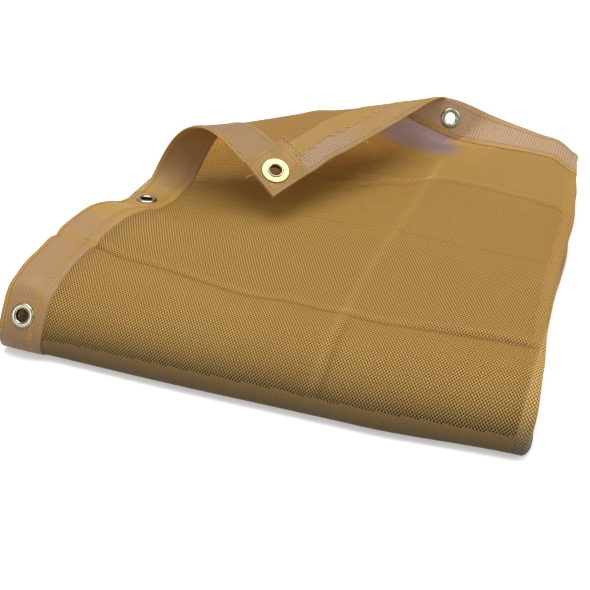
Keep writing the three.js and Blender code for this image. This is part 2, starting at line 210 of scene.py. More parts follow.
def eased(stations, values, x):
    """The values at the stations, eased from one station to the next."""
    x = np.clip(x, stations[0], stations[-1])
    at = np.clip(np.searchsorted(stations, x, side="right") - 1, 0, len(stations) - 2)
    stations = np.asarray(stations, float)
    values = np.asarray(values, float)
    share = smooth((x - stations[at]) / (stations[at + 1] - stations[at]))
    return lerp(values[at], values[at + 1], share)


def left_edge(y):
    return SIDE["lean"] * np.maximum(y, 0) + SIDE["tuck"] * smooth((y - SIDE["from"]) / SIDE["over"])


def right_edge(y, layer=0):
    nested = RIGHT["nested"] if layer > 1 else 0
    return eased(RIGHT["y"], RIGHT["x"], y) - nested


def inner_edge(y):
    return SIDE["lean"] * np.maximum(y, 0) + INNER_LEFT


def sideways(x):
    return (x - BACK_X[0]) / (BACK_X[1] - BACK_X[0])


def back_line(layer, x):
    """Plan y of a layer's back edge."""
    left, right = LAYERS[layer]["back"]
    if layer == 0:
        return lerp(left, right, sideways(x))
    start = LAYERS[layer]["skew_from"]
    return lerp(left, right, smooth((x - start) / (BACK_X[1] - start)))


def height(x, y):
    """Height of the top layer before its corner is curled: eased across and along the sections."""
    rows = list(SECTIONS)
    y = np.clip(y, rows[0], rows[-1])
    level = np.zeros(np.broadcast(x, y).shape)
    for near, far in zip(rows[:-1], rows[1:]):
        share = smooth((y - near) / (far - near))
        piece = lerp(eased(SECTION_X, SECTIONS[near], x), eased(SECTION_X, SECTIONS[far], x), share)
        level = np.where((y >= near) & (y <= far), piece, level)
    return level


def crease_relief(x, y):
    """Soft troughs and ridges: a bell curve across each crease line."""
    relief = 0.0
    for crease in CREASES:
        off = (y - lerp(crease["left"], crease["right"], x / WIDTH)) / crease["spread"]
        relief = relief + crease["depth"] * np.exp(-off * off)
    return relief


def crease_strokes(x, y):
    """Each stroke of the fine creases, how far places lie from it, in its spreads, and its
    strength abreast of them."""
    for crease in FINE_CREASES:
        run, across = (x, y) if crease["over"] == "x" else (y, x)
        line = eased(crease["at"], crease["line"], run)
        for stroke in crease["strokes"]:
            low, high = stroke["ends"]
            strength = smooth((run - low) / CREASE_FADE) * smooth((high - run) / CREASE_FADE)
            yield stroke, (across - line - stroke["aside"]) / stroke["spread"], strength


def before_curl(x, y):
    """One on the flat part of the top layer, easing to nothing where the corner is curled."""
    return 1 - smooth((past_fold(x, y, FAN["foot"]) + CURL_FADE["before"]) / CURL_FADE["over"])


def fine_relief(x, y):
    """Narrow creases and slack waves: a rounded V across each stroke, and a few sine waves. They
    fade out where the corner is curled."""
    relief = np.zeros(np.shape(x))
    for stroke, off, strength in crease_strokes(x, y):
        sharp = np.exp(CREASE_ROUND - np.sqrt(off * off + CREASE_ROUND ** 2))
        relief += stroke["rise"] * strength * sharp
    for rise, long_x, long_y, phase in WAVES:
        relief += rise * np.sin(2 * math.pi * (x / long_x + y / long_y) + phase)
    return relief * before_curl(x, y)


def painted_crease_shade(u, v):
    """How much painted shade darkens the top layer along its fine creases, or, below zero, how much
    a painted highlight lightens it: a bell curve across each stroke."""
    x, y = plan(u, v)
    shade = np.zeros(np.shape(x))
    for stroke, off, strength in crease_strokes(x, y):
        shade += stroke["shade"] * strength * np.exp(-PAINTED_SHADE_SHARPNESS * off * off)
    return shade * before_curl(x, y) * (u < turn_starts(v[:, :1])[0])


def bezier(points, steps):
    """A cubic curve through its first and last points, pulled by the two between."""
    t = np.linspace(0, 1, steps)[:, None]
    a, b, c, d = np.asarray(points, float)
    return a * (1 - t) ** 3 + 3 * b * (1 - t) ** 2 * t + 3 * c * (1 - t) * t ** 2 + d * t ** 3


def front_profile(x):
    """Plan y and height round the front fold at x: a full curve, then the toe on the floor."""
    crest = float(height(x, CREST_Y))
    front, upper, lower = (float(eased(NOSE_X, NOSE[name], x)) for name in ("front", "upper", "lower"))
    nose = ((CREST_Y, crest), (CREST_Y - upper, crest), (front, NOSE_Z + lower), (front, NOSE_Z))
    depth, ease = TOE["depth"], TOE["ease"]
    toe = ((front, NOSE_Z), (front, lerp(MIDDLE_FLOOR, NOSE_Z, ease)),
           (front + depth * ease, MIDDLE_FLOOR), (front + depth, MIDDLE_FLOOR))
    path = np.vstack((bezier(nose, steps=120), bezier(toe, steps=40)[1:]))
    run = np.concatenate(([0], np.cumsum(np.linalg.norm(np.diff(path, axis=0), axis=1))))
    return path, run


class FrontFold:
    """The front fold as a table over x and the length of cloth past the crest, read linearly."""

    stations = np.linspace(-6, 480, 55)
    lengths = np.arange(0, 140, 0.5)

    def __init__(self):
        rows = []
        ends = []
        for x in self.stations:
            path, run = front_profile(x)
            rows.append([np.interp(self.lengths, run, path[:, side]) for side in (0, 1)])
            ends.append(run[-1])
        self.rows = np.array(rows)
        self.ends = np.array(ends)

    def length(self, x):
        return np.interp(x, self.stations, self.ends)

    def point(self, x, run):
        across = np.clip((x - self.stations[0]) / (self.stations[1] - self.stations[0]), 0,
                         len(self.stations) - 1.001)
        along = np.clip(run / (self.lengths[1] - self.lengths[0]), 0, len(self.lengths) - 1.001)
        i, j = across.astype(int), along.astype(int)
        a, b = across - i, along - j
        found = []
        for side in (0, 1):
            grid = self.rows[:, side]
            near = lerp(grid[i, j], grid[i, j + 1], b)
            far = lerp(grid[i + 1, j], grid[i + 1, j + 1], b)
            found.append(lerp(near, far, a))
        return found


FRONT = FrontFold()


def section(layer, x, v):
    """Plan y and height of a layer at x and the length v from its back edge: straight forward to
    the crest, round the front fold and back along the floor, drawn in towards the middle of the
    stack by the layer's shell."""
    x, v = np.broadcast_arrays(np.asarray(x, float), np.asarray(v, float))
    shell = LAYERS[layer]["shell"]
    crest_v = back_line(0, x) - CREST_Y
    past = v - crest_v
    length = FRONT.length(x)
    spare = np.clip((v - CURL_SPAN) / (crest_v - CURL_SPAN), 0, 1)
    top_y = lerp(back_line(layer, x) - np.minimum(v, CURL_SPAN), CREST_Y, spare)
    round_y, round_z = FRONT.point(x, np.clip(past, 0, length))
    round_y = CREST_Y + shell * (round_y - CREST_Y)
    hem_v = CLOTH_LENGTH - mm("hem_width")
    far_y = lerp(*LAYERS[layer]["under"], sideways(x))
    share = np.clip((past - length) / (hem_v - crest_v - length), 0, 1)
    under_y = lerp(round_y, far_y - mm("hem_width"), share) + np.maximum(v - hem_v, 0)
    y = np.where(past < 0, top_y, np.where(past < length, round_y, under_y))
    level = height(x, np.maximum(y, CREST_Y))
    surface = np.where(past < 0, level, np.where(past < length, round_z, MIDDLE_FLOOR))
    middle = (level + MIDDLE_FLOOR) / 2
    return y, middle + shell * (surface - middle)


def plan(u, v):
    """Plan of a point of the top layer before the curl."""
    x = u + 0.0
    for _ in range(SETTLE):
        y = back_line(0, x) - v
        x = left_edge(y) + u
    return np.array((x, y), float)


def fold_line(share):
    """Start of the fan's fold line at a share of its turn, its direction and the one across it."""
    start = plan(0.0, lerp(*FAN["side"], share ** FAN["side_ease"]))
    along = unit(plan(lerp(*FAN["back"], share ** FAN["back_ease"]), 0.0) - start)
    return start, along, np.array((-along[1], along[0]))


def past_fold(x, y, share):
    """How far places of the plan lie past the fan's fold line at a share of its turn."""
    start, _, normal = fold_line(share)
    return (x - start[0]) * normal[0] + (y - start[1]) * normal[1]


def fan_lines():
    """Each fold line of the curl with its turn, from the foot of the curl to the drooping tip."""
    lines, droops = FAN["lines"], FAN["droop_lines"]
    turn = math.radians(FAN["turn"]) / lines
    found = [(*fold_line((line + 0.5) / lines), turn) for line in range(lines)]
    start, along, normal, _ = found[-1]
    for line in range(droops):
        off = FAN["droop_at"] * (0.5 + line / (droops - 1))
        found.append((start + normal * off, along, normal, math.radians(FAN["droop"]) / droops))
    return found


def curled(x, y):
    """The top layer with its corner rolled: each point is turned about every fold line that it
    lies beyond, the outermost first, then lifted by the height at the foot of the curl."""
    flat = np.stack((x, y), -1)
    point = np.stack((x, y, np.zeros_like(x)), -1)
    for start, along, normal, turn in fan_lines()[::-1]:
        beyond = (flat - start) @ normal > 0
        off = point[beyond] - np.append(start, 0)
        side, rise = off[:, :2] @ normal, off[:, 2]
        run = (off[:, :2] @ along)[:, None] * along
        over = (side * math.cos(turn) - rise * math.sin(turn))[:, None] * normal
        lift = side * math.sin(turn) + rise * math.cos(turn)
        point[beyond] = np.column_stack((start + run + over, lift))
    normal = fold_line(FAN["foot"])[2]
    past = np.maximum(past_fold(x, y, FAN["foot"]), 0)
    foot = x - past * normal[0], y - past * normal[1]
    point[..., 2] += height(*foot) + crease_relief(*foot)
    return point


def top_layer(v, x, y, z):
    """Points of the top layer, curled where they lie behind the crest, with its fine relief
    raised straight up, or outwards round the front fold."""
    point = np.stack((x, y, z), -1)
    past = v - (back_line(0, x) - CREST_Y)
    behind = past < 0
    point[behind] = curled(x[behind], y[behind])
    relief = fine_relief(x, CREST_Y - past) * (1 - smooth((past - RELIEF_TO) / RELIEF_FADE))
    middle = height(x, CREST_Y) / 2
    forward = np.where(behind, 0, np.minimum(y - CREST_Y, 0))
    upward = np.where(behind, middle, np.maximum(z - middle, 0) + UPWARD_LEFT * middle)
    size = np.hypot(forward, upward)
    point[..., 1] += relief * forward / size
    point[..., 2] += relief * upward / size
    return point


def placed(layer, v, place):
    """Points of a layer at x, y and z: the top one is curled and creased, the others lie as they
    are."""
    return np.stack(place, -1) if layer else top_layer(v, *place)


def fold_place(layer, v, right):
    """x, y and z where a layer meets its right or its left fold, before any curl."""
    edge = partial(right_edge, layer=layer) if right else inner_edge
    x = edge(np.full_like(v, CREST_Y))
    for _ in range(SETTLE):
        y, z = section(layer, x, v)
        x = edge(y)
    return x, y, z


def layer_width(layer, v):
    """How wide a layer is at v, from its free edge or left fold to its right fold."""
    right = fold_place(layer, v, True)[0]
    if layer:
        return right - fold_place(layer, v, False)[0]
    return right - left_edge(np.maximum(back_line(0, right) - v, 0))


def turn_starts(v):
    """Where each layer ends and its side fold begins, as u for each v of a column."""
    ends = []
    begin = 0.0
    for layer in range(len(LAYERS)):
        ends.append(begin + layer_width(layer, v))
        begin = ends[-1] + TURN_LENGTH
    return ends


def cloth_width(v):
    """How wide the whole cloth is at v: every layer and side fold, one after the other."""
    return turn_starts(v)[-1]


def layer_points(layer, u, v, share):
    """Points inside one layer, at a share of its width, or at u from the side edge on the top."""
    x = u + 0.0
    for _ in range(SETTLE):
        y = section(layer, x, v)[0]
        if layer == 0:
            x = u + left_edge(np.maximum(back_line(0, x) - v, 0))
        elif layer % 2:
            x = lerp(right_edge(y, layer), inner_edge(y), share)
        else:
            x = lerp(inner_edge(y), right_edge(y, layer), share)
    return placed(layer, v, (x, *section(layer, x, v)))


def flat_cloth(u, v):
    """Points of the cloth's middle, before it is pressed flat round the eyelets: back and forth
    through the layers, with a half turn at each side fold. v has one column."""
    u, v = np.broadcast_arrays(np.asarray(u, float), np.asarray(v, float))
    column = v[:, :1]
    points = np.zeros(u.shape + (3,))
    last = len(LAYERS) - 1
    begin = np.zeros_like(column)
    for layer, end in enumerate(turn_starts(column)):
        inside = ((u >= begin) | (layer == 0)) & ((u <= end) | (layer == last))
        if inside.any():
            share = ((u - begin) / (end - begin))[inside]
            points[inside] = layer_points(layer, u[inside], v[inside], share)
        begin = end + TURN_LENGTH
        turning = (u > end) & (u < begin)
        if layer < last and turning.any():
            right = layer % 2 == 0
            start, stop = (
                np.broadcast_to(placed(k, column, fold_place(k, column, right)), points.shape)[turning]
                for k in (layer, layer + 1)
            )
            angle = (math.pi * (u - end) / TURN_LENGTH)[turning][:, None]
            middle = (start + stop) / 2
            bulge = np.array((FOLD_BULGE if right else -FOLD_BULGE, 0, 0))
            points[turning] = middle + (start - middle) * np.cos(angle) + bulge * np.sin(angle)
    return points


def in_the_dark(u, v):
    """Whether places of the cloth lie well inside the packet, away from its side folds, where they get
    the dim yarn's painted shade.
    """
    ends = turn_starts(v[:, :1])
    dark = u > ends[0] + TURN_LENGTH + DARK_FROM
    for end in ends[1:3]:
        dark &= (u < end - DARK_FROM) | (u > end + TURN_LENGTH + DARK_FROM)
    return dark


@lru_cache(maxsize=None)
def seat_frames():
    """Each eyelet's place on the cloth, its centre and the cloth's outward normal there."""
    frames = []
    for seat in SEATS:
        u = seat["u"]
        v = seat["v"] if "v" in seat else float(back_line(0, u) - CREST_Y + seat["past_crest"])
        centre, normal, _ = frame_at([u], [v], SEAT_REACH, flat_cloth)
        frames.append({**seat, "v": v, "centre": centre[0], "normal": normal[0]})
    return frames


def cloth(u, v):
    """Points of the cloth's middle, pressed flat round each eyelet."""
    u, v = np.broadcast_arrays(np.asarray(u, float), np.asarray(v, float))
    points = flat_cloth(u, v)
    for seat in seat_frames():
        away = np.hypot(u - seat["u"], v - seat["v"])
        share = 1 - smooth((away - seat["flat"]) / SEAT_BLEND)
        off = (points - seat["centre"]) @ seat["normal"]
        points -= (off * share)[..., None] * seat["normal"]
    return points


def normals_of(points):
    """Outward normals of a grid of cloth points, from the steps along its two directions."""
    return unit(np.cross(np.gradient(points, axis=0), np.gradient(points, axis=1)))


def frame_at(u, v, step=FRAME_STEP, surface=cloth):
    """Point, outward normal and direction of growing u for places along a path on the cloth."""
    u, v = np.asarray(u, float)[:, None], np.asarray(v, float)[:, None]
    spread = surface(u + np.array((-step, 0, step)), v)
    across = unit(spread[:, 2] - spread[:, 0])
    ahead, behind = (surface(u, v + off)[:, 0] for off in (step, -step))
    return spread[:, 1], unit(np.cross(ahead - behind, across)), across


def new_piece(name, points, faces, materials, uvs=None, marks=None, shade=None, node=None):
    """A mesh object from points in millimetres of the packet. Marks give a material number to each
    face, and the painted shade darkens the cloth at each point, or lightens it below zero. A node is
    the solid that it stands for."""
    mesh = bpy.data.meshes.new(name)
    points = (np.asarray(points, float).reshape(-1, 3) + PLAN_ORIGIN) * MM
    mesh.vertices.add(len(points))
    mesh.vertices.foreach_set("co", points.ravel())
    loops = np.concatenate([part.ravel() for part in faces])
    sizes = np.concatenate([np.full(len(part), part.shape[1]) for part in faces])
    mesh.loops.add(len(loops))
    mesh.loops.foreach_set("vertex_index", loops)
    mesh.polygons.add(len(sizes))
    mesh.polygons.foreach_set("loop_start", np.concatenate(([0], np.cumsum(sizes)[:-1])))
    mesh.polygons.foreach_set("use_smooth", np.ones(len(sizes), bool))
    if marks is not None:
        mesh.polygons.foreach_set("material_index", np.asarray(marks, np.int32))
    mesh.update(calc_edges=True)
    if uvs is not None:
        layer = mesh.uv_layers.new(name="cloth")
        layer.uv.foreach_set("vector", np.asarray(uvs, float)[loops].ravel())
    if shade is not None:
        mesh.attributes.new("shade", "FLOAT", "POINT").data.foreach_set("value", shade.ravel())
    mesh.validate()
    piece = bpy.data.objects.new(name, mesh)
    bpy.context.collection.objects.link(piece)
    for material in materials:
        mesh.materials.append(material)
    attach(piece, BODY)
    if node:
        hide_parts(node)
    return piece


def quads(*corners):
    """Four-sided faces from four arrays with the numbers of their corners."""
    return np.stack(corners, -1).reshape(-1, 4)


def cells_of(corner):
    """The four corners of each cell of a grid of point numbers, in turn."""
    return corner[:-1, :-1], corner[1:, :-1], corner[1:, 1:], corner[:-1, 1:]


def cloth_uv(u, v):
    """Places on the cloth as texture coordinates, in metres."""
    return np.stack(np.broadcast_arrays(u, v), -1).reshape(-1, 2) * MM


def covered(points):
    """Whether points of the second layer lie under the top layer, before its curl lifts off."""
    return past_fold(points[..., 0], points[..., 1], FAN["foot"]) <= 0


def in_sheer(u, v):
    """Whether places lie where the mesh stands up against the light. There its holes are closed
    and its yarn carries a painted greyish see-through shade.
    """
    found = True
    for place, (low, high), past in zip((u, v), SHEER, SHEER_PAST):
        found = found & (place > low / MM) & (place < high / MM + past)
    return found


def closed_holes(layer, u, v, points):
    """Face marks for holes that are closed, or OPEN. In the top layer they are closed where the
    corner is turned right over, where it stands against the light, by the side fold and low on the
    front fold, and in the second layer where the top one covers it. In the top layer the turned-over
    corner's holes take the dark sheet of painted shade, those by the side fold and low on the front
    the dim yarn, also painted shade, and those against the light yarn with a painted greyish
    see-through shade."""
    if layer:
        return np.where(covered(points), GAP, OPEN)
    x, y = plan(u, v)
    flap = (past_fold(x, y, FLAP_FROM) > 0) & (v < CURL_SPAN)
    low = (points[..., 2] < LOW_FRONT) & (y < CREST_Y)
    by_fold = u > turn_starts(v[:, :1])[0] - CLOSED_FROM
    return np.select((in_sheer(u, v), flap, by_fold | low), (YARN, GAP, DIM), OPEN)


def between(above, below, left, right):
    """Faces from one row of points to the next, from the left columns to the right ones."""
    return quads(above[:, left], below[:, left], below[:, right], above[:, right])


def woven(layer, u_range, v_range):
    """Open weave: rows of small rectangular holes, each row half a cell on from the last, with a
    strand of four-sided faces between holes and a band of them between rows. Holes are smaller
    where the cloth is pulled narrow near the back hem, and some are closed. Returns points, faces,
    cloth places, face marks (yarn, closed hole, and in the dark, which gets the dim yarn's painted
    shade) and the painted crease shade at each point."""
    hem, across, along = mm("hem_width"), mm("cell_across"), mm("cell_along") / 2
    begin, stop = (int(round((end - hem) / across)) for end in u_range)
    rows = np.arange(*(int(round((end - hem) / along)) for end in v_range))
    holes = stop - begin
    low_u = hem + begin * across
    centre_v = (hem + (rows + 0.5) * along)[:, None]
    shift = np.where(rows % 2 == 0, 0.5, 1.0)[:, None]
    centres = low_u + (np.arange(holes)[None, :] + shift) * across
    pull = lerp(PULLED["size"], 1.0, smooth((centre_v - PULLED["from"]) / PULLED["over"]))
    wide, tall = pull * mm("hole_across") / 2, pull * mm("hole_along") / 2
    sides = np.stack((centres - wide, centres + wide), -1).reshape(len(rows), -1)
    ends = np.ones((len(rows), 1))
    line = np.hstack((ends * low_u, sides, ends * (low_u + (holes + 0.5) * across)))
    u = np.repeat(line, 2, axis=0)
    v = np.hstack((centre_v - tall, centre_v + tall)).reshape(-1, 1)
    v[0, 0] = centre_v[0, 0] - along / 2
    v[-1, 0] = centre_v[-1, 0] + along / 2
    points = cloth(u, v)
    count = u.shape[1]
    corner = np.arange(u.size).reshape(u.shape)
    upper, lower = corner[0::2], corner[1::2]
    strands = between(upper, lower, slice(0, count, 2), slice(1, count, 2))
    bands = between(lower[:-1], upper[1:], slice(0, -1), slice(1, None))
    hole_sides = slice(1, count - 1, 2)
    backed = between(upper, lower, hole_sides, slice(2, count, 2))
    rows_v = np.broadcast_to(centre_v, centres.shape)
    closed = closed_holes(layer, centres, rows_v, points[0::2, hole_sides]).ravel()
    faces = np.vstack((strands, bands, backed[closed != OPEN]))
    v = np.broadcast_to(v, u.shape)
    dark = in_the_dark(u, v)
    if layer:
        dark &= covered(points)
    marks = np.concatenate((np.full(len(strands) + len(bands), YARN), closed[closed != OPEN]))
    marks[dark.ravel()[faces[:, 0]]] = DIM
    # Painted crease shade, on the top layer only
    shade = np.zeros(u.shape) if layer else painted_crease_shade(u, v)
    return points.reshape(-1, 3), [faces], cloth_uv(u, v), marks, shade


def fine_near(low, high, at, coarse, fine, reach):
    """Steps from low to high that are fine within reach of some places and coarse elsewhere."""
    places = np.asarray(at, float)
    at = np.linspace(low, high, int((high - low) / LOOK_STEP) + 1)
    near = np.min(np.abs(at[:, None] - places[None, :]), axis=1)
    density = 1 / np.where(near < reach, fine, coarse)
    total = np.concatenate(([0], np.cumsum((density[1:] + density[:-1]) / 2 * np.diff(at))))
    steps = max(2, int(round(total[-1])))
    return np.interp(np.linspace(0, total[-1], steps + 1), total, at)


def thick_sheet(u, v, thickness, holes=(), ribs=None, sink=0.0):
    """A closed cloth strip: the grid's points moved out on both faces by half its thickness, which
    rounds off to nothing at its four edges, with ribs along v raised on both faces. It can be sunk
    towards its under face. The cells near each seat in holes are left out and their rim is walled.
    Returns points, faces, cloth places and how many faces are upper ones."""
    u, v = np.broadcast_arrays(np.asarray(u, float), np.asarray(v, float))
    points = cloth(u, v[:, :1])
    normal = normals_of(points)
    half = thickness / 2
    edge = np.minimum.reduce((u - u[:, :1], u[:, -1:] - u, v - v[:1], v[-1:] - v))
    round_off = np.sqrt(np.clip(1 - (1 - np.clip(edge / half, 0, 1)) ** 2, 0, 1))
    lift = (half + (ribs(u) if ribs else 0)) * round_off
    both = np.vstack([(points + normal * (side * lift - sink)[..., None]).reshape(-1, 3)
                      for side in (1, -1)])
    rim = np.ones(u.shape, bool)
    rim[1:-1, 1:-1] = False
    top = np.arange(u.size).reshape(u.shape)
    under = np.where(rim, top, top + u.size)
    middle_u = (u[:-1, :-1] + u[1:, 1:]) / 2
    middle_v = (v[:-1, :-1] + v[1:, 1:]) / 2
    gone = np.zeros(middle_u.shape, bool)
    for seat in holes:
        gone |= np.hypot(middle_u - seat["u"], middle_v - seat["v"]) < HOLE_RADIUS
    upper_faces = quads(*cells_of(top))[~gone.ravel()]
    lower_faces = [quads(*cells_of(under)[::-1])[~gone.ravel()]]
    for axis in (0, 1):
        before, after = (gone[:-1], gone[1:]) if axis == 0 else (gone[:, :-1], gone[:, 1:])
        for opens, flip in ((after & ~before, axis == 0), (before & ~after, axis == 1)):
            row, column = np.nonzero(opens)
            first = (row + 1, column) if axis == 0 else (row, column + 1)
            second = (row + 1, column + 1)
            start, end = (second, first) if flip else (first, second)
            lower_faces.append(quads(top[start], top[end], under[end], under[start]))
    faces = [upper_faces, np.vstack(lower_faces)]
    used = np.zeros(len(both), bool)
    for part in faces:
        used[part.ravel()] = True
    renumber = np.cumsum(used) - 1
    uv = np.tile(cloth_uv(u, v), (2, 1))[used]
    return both[used], [renumber[part] for part in faces], uv, len(upper_faces)


# Materials

# Ranges that are read as shares: from and to, then the shares there, which are 0 and 1 if not given
KNOTS = (-0.7, 0.45, 1.0, 0.0)
YARN_LINES = (-1.0, 1.0, 0.0, 0.3)
BROAD_PATCHES = (0.35, 0.7)
PAINTED_HOLE = (0.3, 0.5)
DIM_HOLE = (0.0, 0.6)
# Painted shade low on the front fold: heights in metres over which it fades out upwards, and plan y in
# metres over which it fades out backwards
PAINTED_SHADE_LOW = (0.004, 0.048, 0.96, 0.0)
PAINTED_SHADE_FRONT = (-0.19, -0.14, 1.0, 0.0)
WORN_RIBS = (-1.5, 1.3)
NEEDLE_HOLES = (0.8, 0.95)
NEEDLED_PATCHES = (0.5, 0.62)
UNEVEN = (0.3, 0.7)
TWIST = (0.35, 0.65)
POLISH = (0.3, 0.75)
TURNED_CORNER = (1.05, 0.8)
# How unevenly the ribs of the hems are worn
RIB_WEAR = 3.4
# Sizes of the noise, in waves to the metre
NOISE = {"yarn": 9.0, "rib": 520.0, "needles": 60.0, "square": 45.0, "thread": 900.0,
         "polish": 300.0, "plating": 120.0}
# Shares of the light that cloth, closed holes and hems let through
LET_THROUGH = {"mesh": 0.3, "gap": 0.4, "hem": 0.12}


def tint(name, share=1.0):
    """One of the panel's colours at a share of its strength."""
    return rgba(getattr(bpy.context.scene.tarp_colours, name), share)


def rgba(color, share=1.0):
    return (*(part * share for part in color), 1.0)


class Nodes:
    """A short way to add and join the nodes of one material."""

    def __init__(self, name):
        self.material = bpy.data.materials.new(name)
        self.material.use_nodes = True
        self.tree = self.material.node_tree
        self.shader = self.tree.nodes["Principled BSDF"]

    def add(self, kind, inputs=(), **settings):
        node = self.tree.nodes.new(kind)
        for name, value in settings.items():
            setattr(node, name, value)
        for key, value in dict(inputs).items():
            self.put(node.inputs[key], value)
        return node

    def put(self, socket, value):
        if isinstance(value, bpy.types.NodeSocket):
            self.tree.links.new(value, socket)
        else:
            socket.default_value = value

    def math(self, operation, *values):
        node = self.add("ShaderNodeMath", operation=operation)
        for socket, value in zip(node.inputs, values):
            self.put(socket, value)
        return node.outputs[0]

    def times(self, *values):
        """The product of two values, with a third one added to it if it is given."""
        return self.math("MULTIPLY" if len(values) == 2 else "MULTIPLY_ADD", *values)

    def mix(self, share, first, second):
        inputs = {"Factor": share, 6: first, 7: second}
        return self.add("ShaderNodeMix", inputs, data_type="RGBA").outputs[2]

    def coats(self, tone, *layers):
        """A tone with others laid over it one after the other, each at its share."""
        for share, over in layers:
            tone = self.mix(share, tone, over)
        return tone

    def ramp(self, value, low, high, to_low=0.0, to_high=1.0):
        """A value eased from one range to another."""
        inputs = {"Value": value, "From Min": low, "From Max": high, "To Min": to_low, "To Max": to_high}
        return self.add("ShaderNodeMapRange", inputs, interpolation_type="SMOOTHSTEP").outputs[0]

    def noise(self, name, detail=2.0):
        inputs = {"Scale": NOISE[name], "Detail": detail, "Vector": self.place()}
        return self.add("ShaderNodeTexNoise", inputs).outputs["Fac"]

    def place(self):
        return self.add("ShaderNodeTexCoord").outputs["Object"]

    def lengths(self):
        """Places on the cloth, u and v in metres."""
        uv = self.add("ShaderNodeUVMap", uv_map="cloth").outputs[0]
        parts = self.add("ShaderNodeSeparateXYZ", {"Vector": uv})
        return parts.outputs[0], parts.outputs[1]

    def cells(self):
        """Counts of weave cells across and along, whole at the middle of a hole."""
        sizes = bpy.context.scene.tarp_sizes
        counts = []
        for length, cell, begin in zip(self.lengths(), (sizes.cell_across, sizes.cell_along), (0.5, 0.25)):
            counts.append(self.times(length, 1 / cell, -sizes.hem_width / cell - begin))
        return counts

    def zone(self, length, low, high, soft):
        """One between two lengths in metres, easing to nothing outside them."""
        rise = self.ramp(length, low - soft, low + soft)
        return self.times(rise, self.ramp(length, high - soft, high + soft, 1.0, 0.0))

    def let_through(self, color, share):
        """Let some light through the cloth from behind, darkened where it carries the painted shade low on
        the front fold.
        """
        painted_shade_color = self.mix(painted_low_shade_share(self), color, tint("painted_low_shade"))
        glow = self.add("ShaderNodeBsdfTranslucent", {"Color": painted_shade_color})
        shaders = {"Fac": share, 1: self.shader.outputs[0], 2: glow.outputs[0]}
        mixed = self.add("ShaderNodeMixShader", shaders)
        self.put(self.tree.nodes["Material Output"].inputs["Surface"], mixed.outputs[0])

    def wave(self, value, per_cell=1.0, phase=0.0):
        return self.math("COSINE", self.times(value, 2 * math.pi * per_cell, phase))

    def bump(self, value, depth_mm, strength):
        inputs = {"Strength": strength, "Distance": depth_mm * MM, "Height": value}
        self.put(self.shader.inputs["Normal"], self.add("ShaderNodeBump", inputs).outputs[0])

    def finish(self, color, roughness, **sockets):
        self.put(self.shader.inputs["Base Color"], color)
        self.put(self.shader.inputs["Roughness"], roughness)
        for name, value in sockets.items():
            self.put(self.shader.inputs[name.replace("_", " ")], value)
        return self.material


def weave_pattern(nodes):
    """One at the middle of a hole and minus one at the knots between the holes."""
    across, along = nodes.cells()
    return nodes.times(nodes.wave(across), nodes.wave(along))


def painted_low_shade_share(nodes):
    """How much painted shade the cloth gets low down on the front fold."""
    place = nodes.add("ShaderNodeSeparateXYZ", {"Vector": nodes.place()})
    low = nodes.ramp(place.outputs[2], *PAINTED_SHADE_LOW)
    return nodes.times(low, nodes.ramp(place.outputs[1], *PAINTED_SHADE_FRONT))


def mesh_material(name, painted_holes):
    """Coated gold-tan yarn with faint lines along v, a deeper tone in broad patches and, where asked,
    dark painted holes. Painted shade darkens it towards the holes, along creases, on the turned-over
    corner and low on the front; a painted highlight lightens it along crease ridges, and a painted
    greyish see-through shade lies where it stands against the light."""
    nodes = Nodes(name)
    pattern = weave_pattern(nodes)
    across, _ = nodes.cells()
    u, v = nodes.lengths()
    shade = nodes.add("ShaderNodeAttribute", attribute_name="shade").outputs["Fac"]
    # A painted greyish see-through shade where the mesh stands against the light
    painted_see_through = nodes.times(nodes.zone(u, *SHEER[0], soft=0.015), nodes.zone(v, *SHEER[1], soft=0.01))
    tone = nodes.coats(
        # Painted shade on the strands: darker towards the holes, full tone on the knots
        tint("yarn", 0.36),
        (nodes.ramp(pattern, *KNOTS), tint("yarn")),
        (nodes.times(nodes.ramp(nodes.noise("yarn"), *BROAD_PATCHES), 0.35), tint("deep_yarn_and_shade")),
        (nodes.ramp(nodes.wave(across), *YARN_LINES), tint("yarn", 0.3)),
        # Painted holes, dark with the shade of what lies behind them
        (nodes.ramp(pattern, *PAINTED_HOLE) if painted_holes else 0.0, tint("gap")),
        # Painted shade along creases, then a painted highlight along their ridges
        (nodes.ramp(shade, 0.0, 1.0), tint("yarn", 0.16)),
        (nodes.ramp(shade, 0.0, -1.0), tint("painted_crease_highlight")),
        # Painted shade on the turned-over corner
        (painted_corner_shade(nodes, 0.5), tint("deep_yarn_and_shade", 0.5)),
        (nodes.times(painted_see_through, 0.85), tint("painted_see_through")),
        # Painted shade low on the front fold
        (painted_low_shade_share(nodes), tint("painted_low_shade")),
    )
    nodes.bump(nodes.times(pattern, -1.0), depth_mm=0.4, strength=0.8)
    if not painted_holes:
        # The light let through takes on the painted see-through tone there
        glow = nodes.mix(nodes.times(painted_see_through, 0.8), tint("glow"), tint("painted_see_through"))
        nodes.let_through(glow, LET_THROUGH["mesh"])
    return nodes.finish(tone, roughness=0.55, Specular_IOR_Level=0.35)


def dim_material(name):
    """Painted shade: a darker copy of the yarn, darker still at the holes, for the layers inside,
    which hardly any light reaches.
    """
    nodes = Nodes(name)
    hole = nodes.ramp(weave_pattern(nodes), *DIM_HOLE)
    tone = nodes.mix(hole, tint("yarn", 0.28), tint("yarn", 0.2))
    return nodes.finish(tone, roughness=0.7, Specular_IOR_Level=0.2)


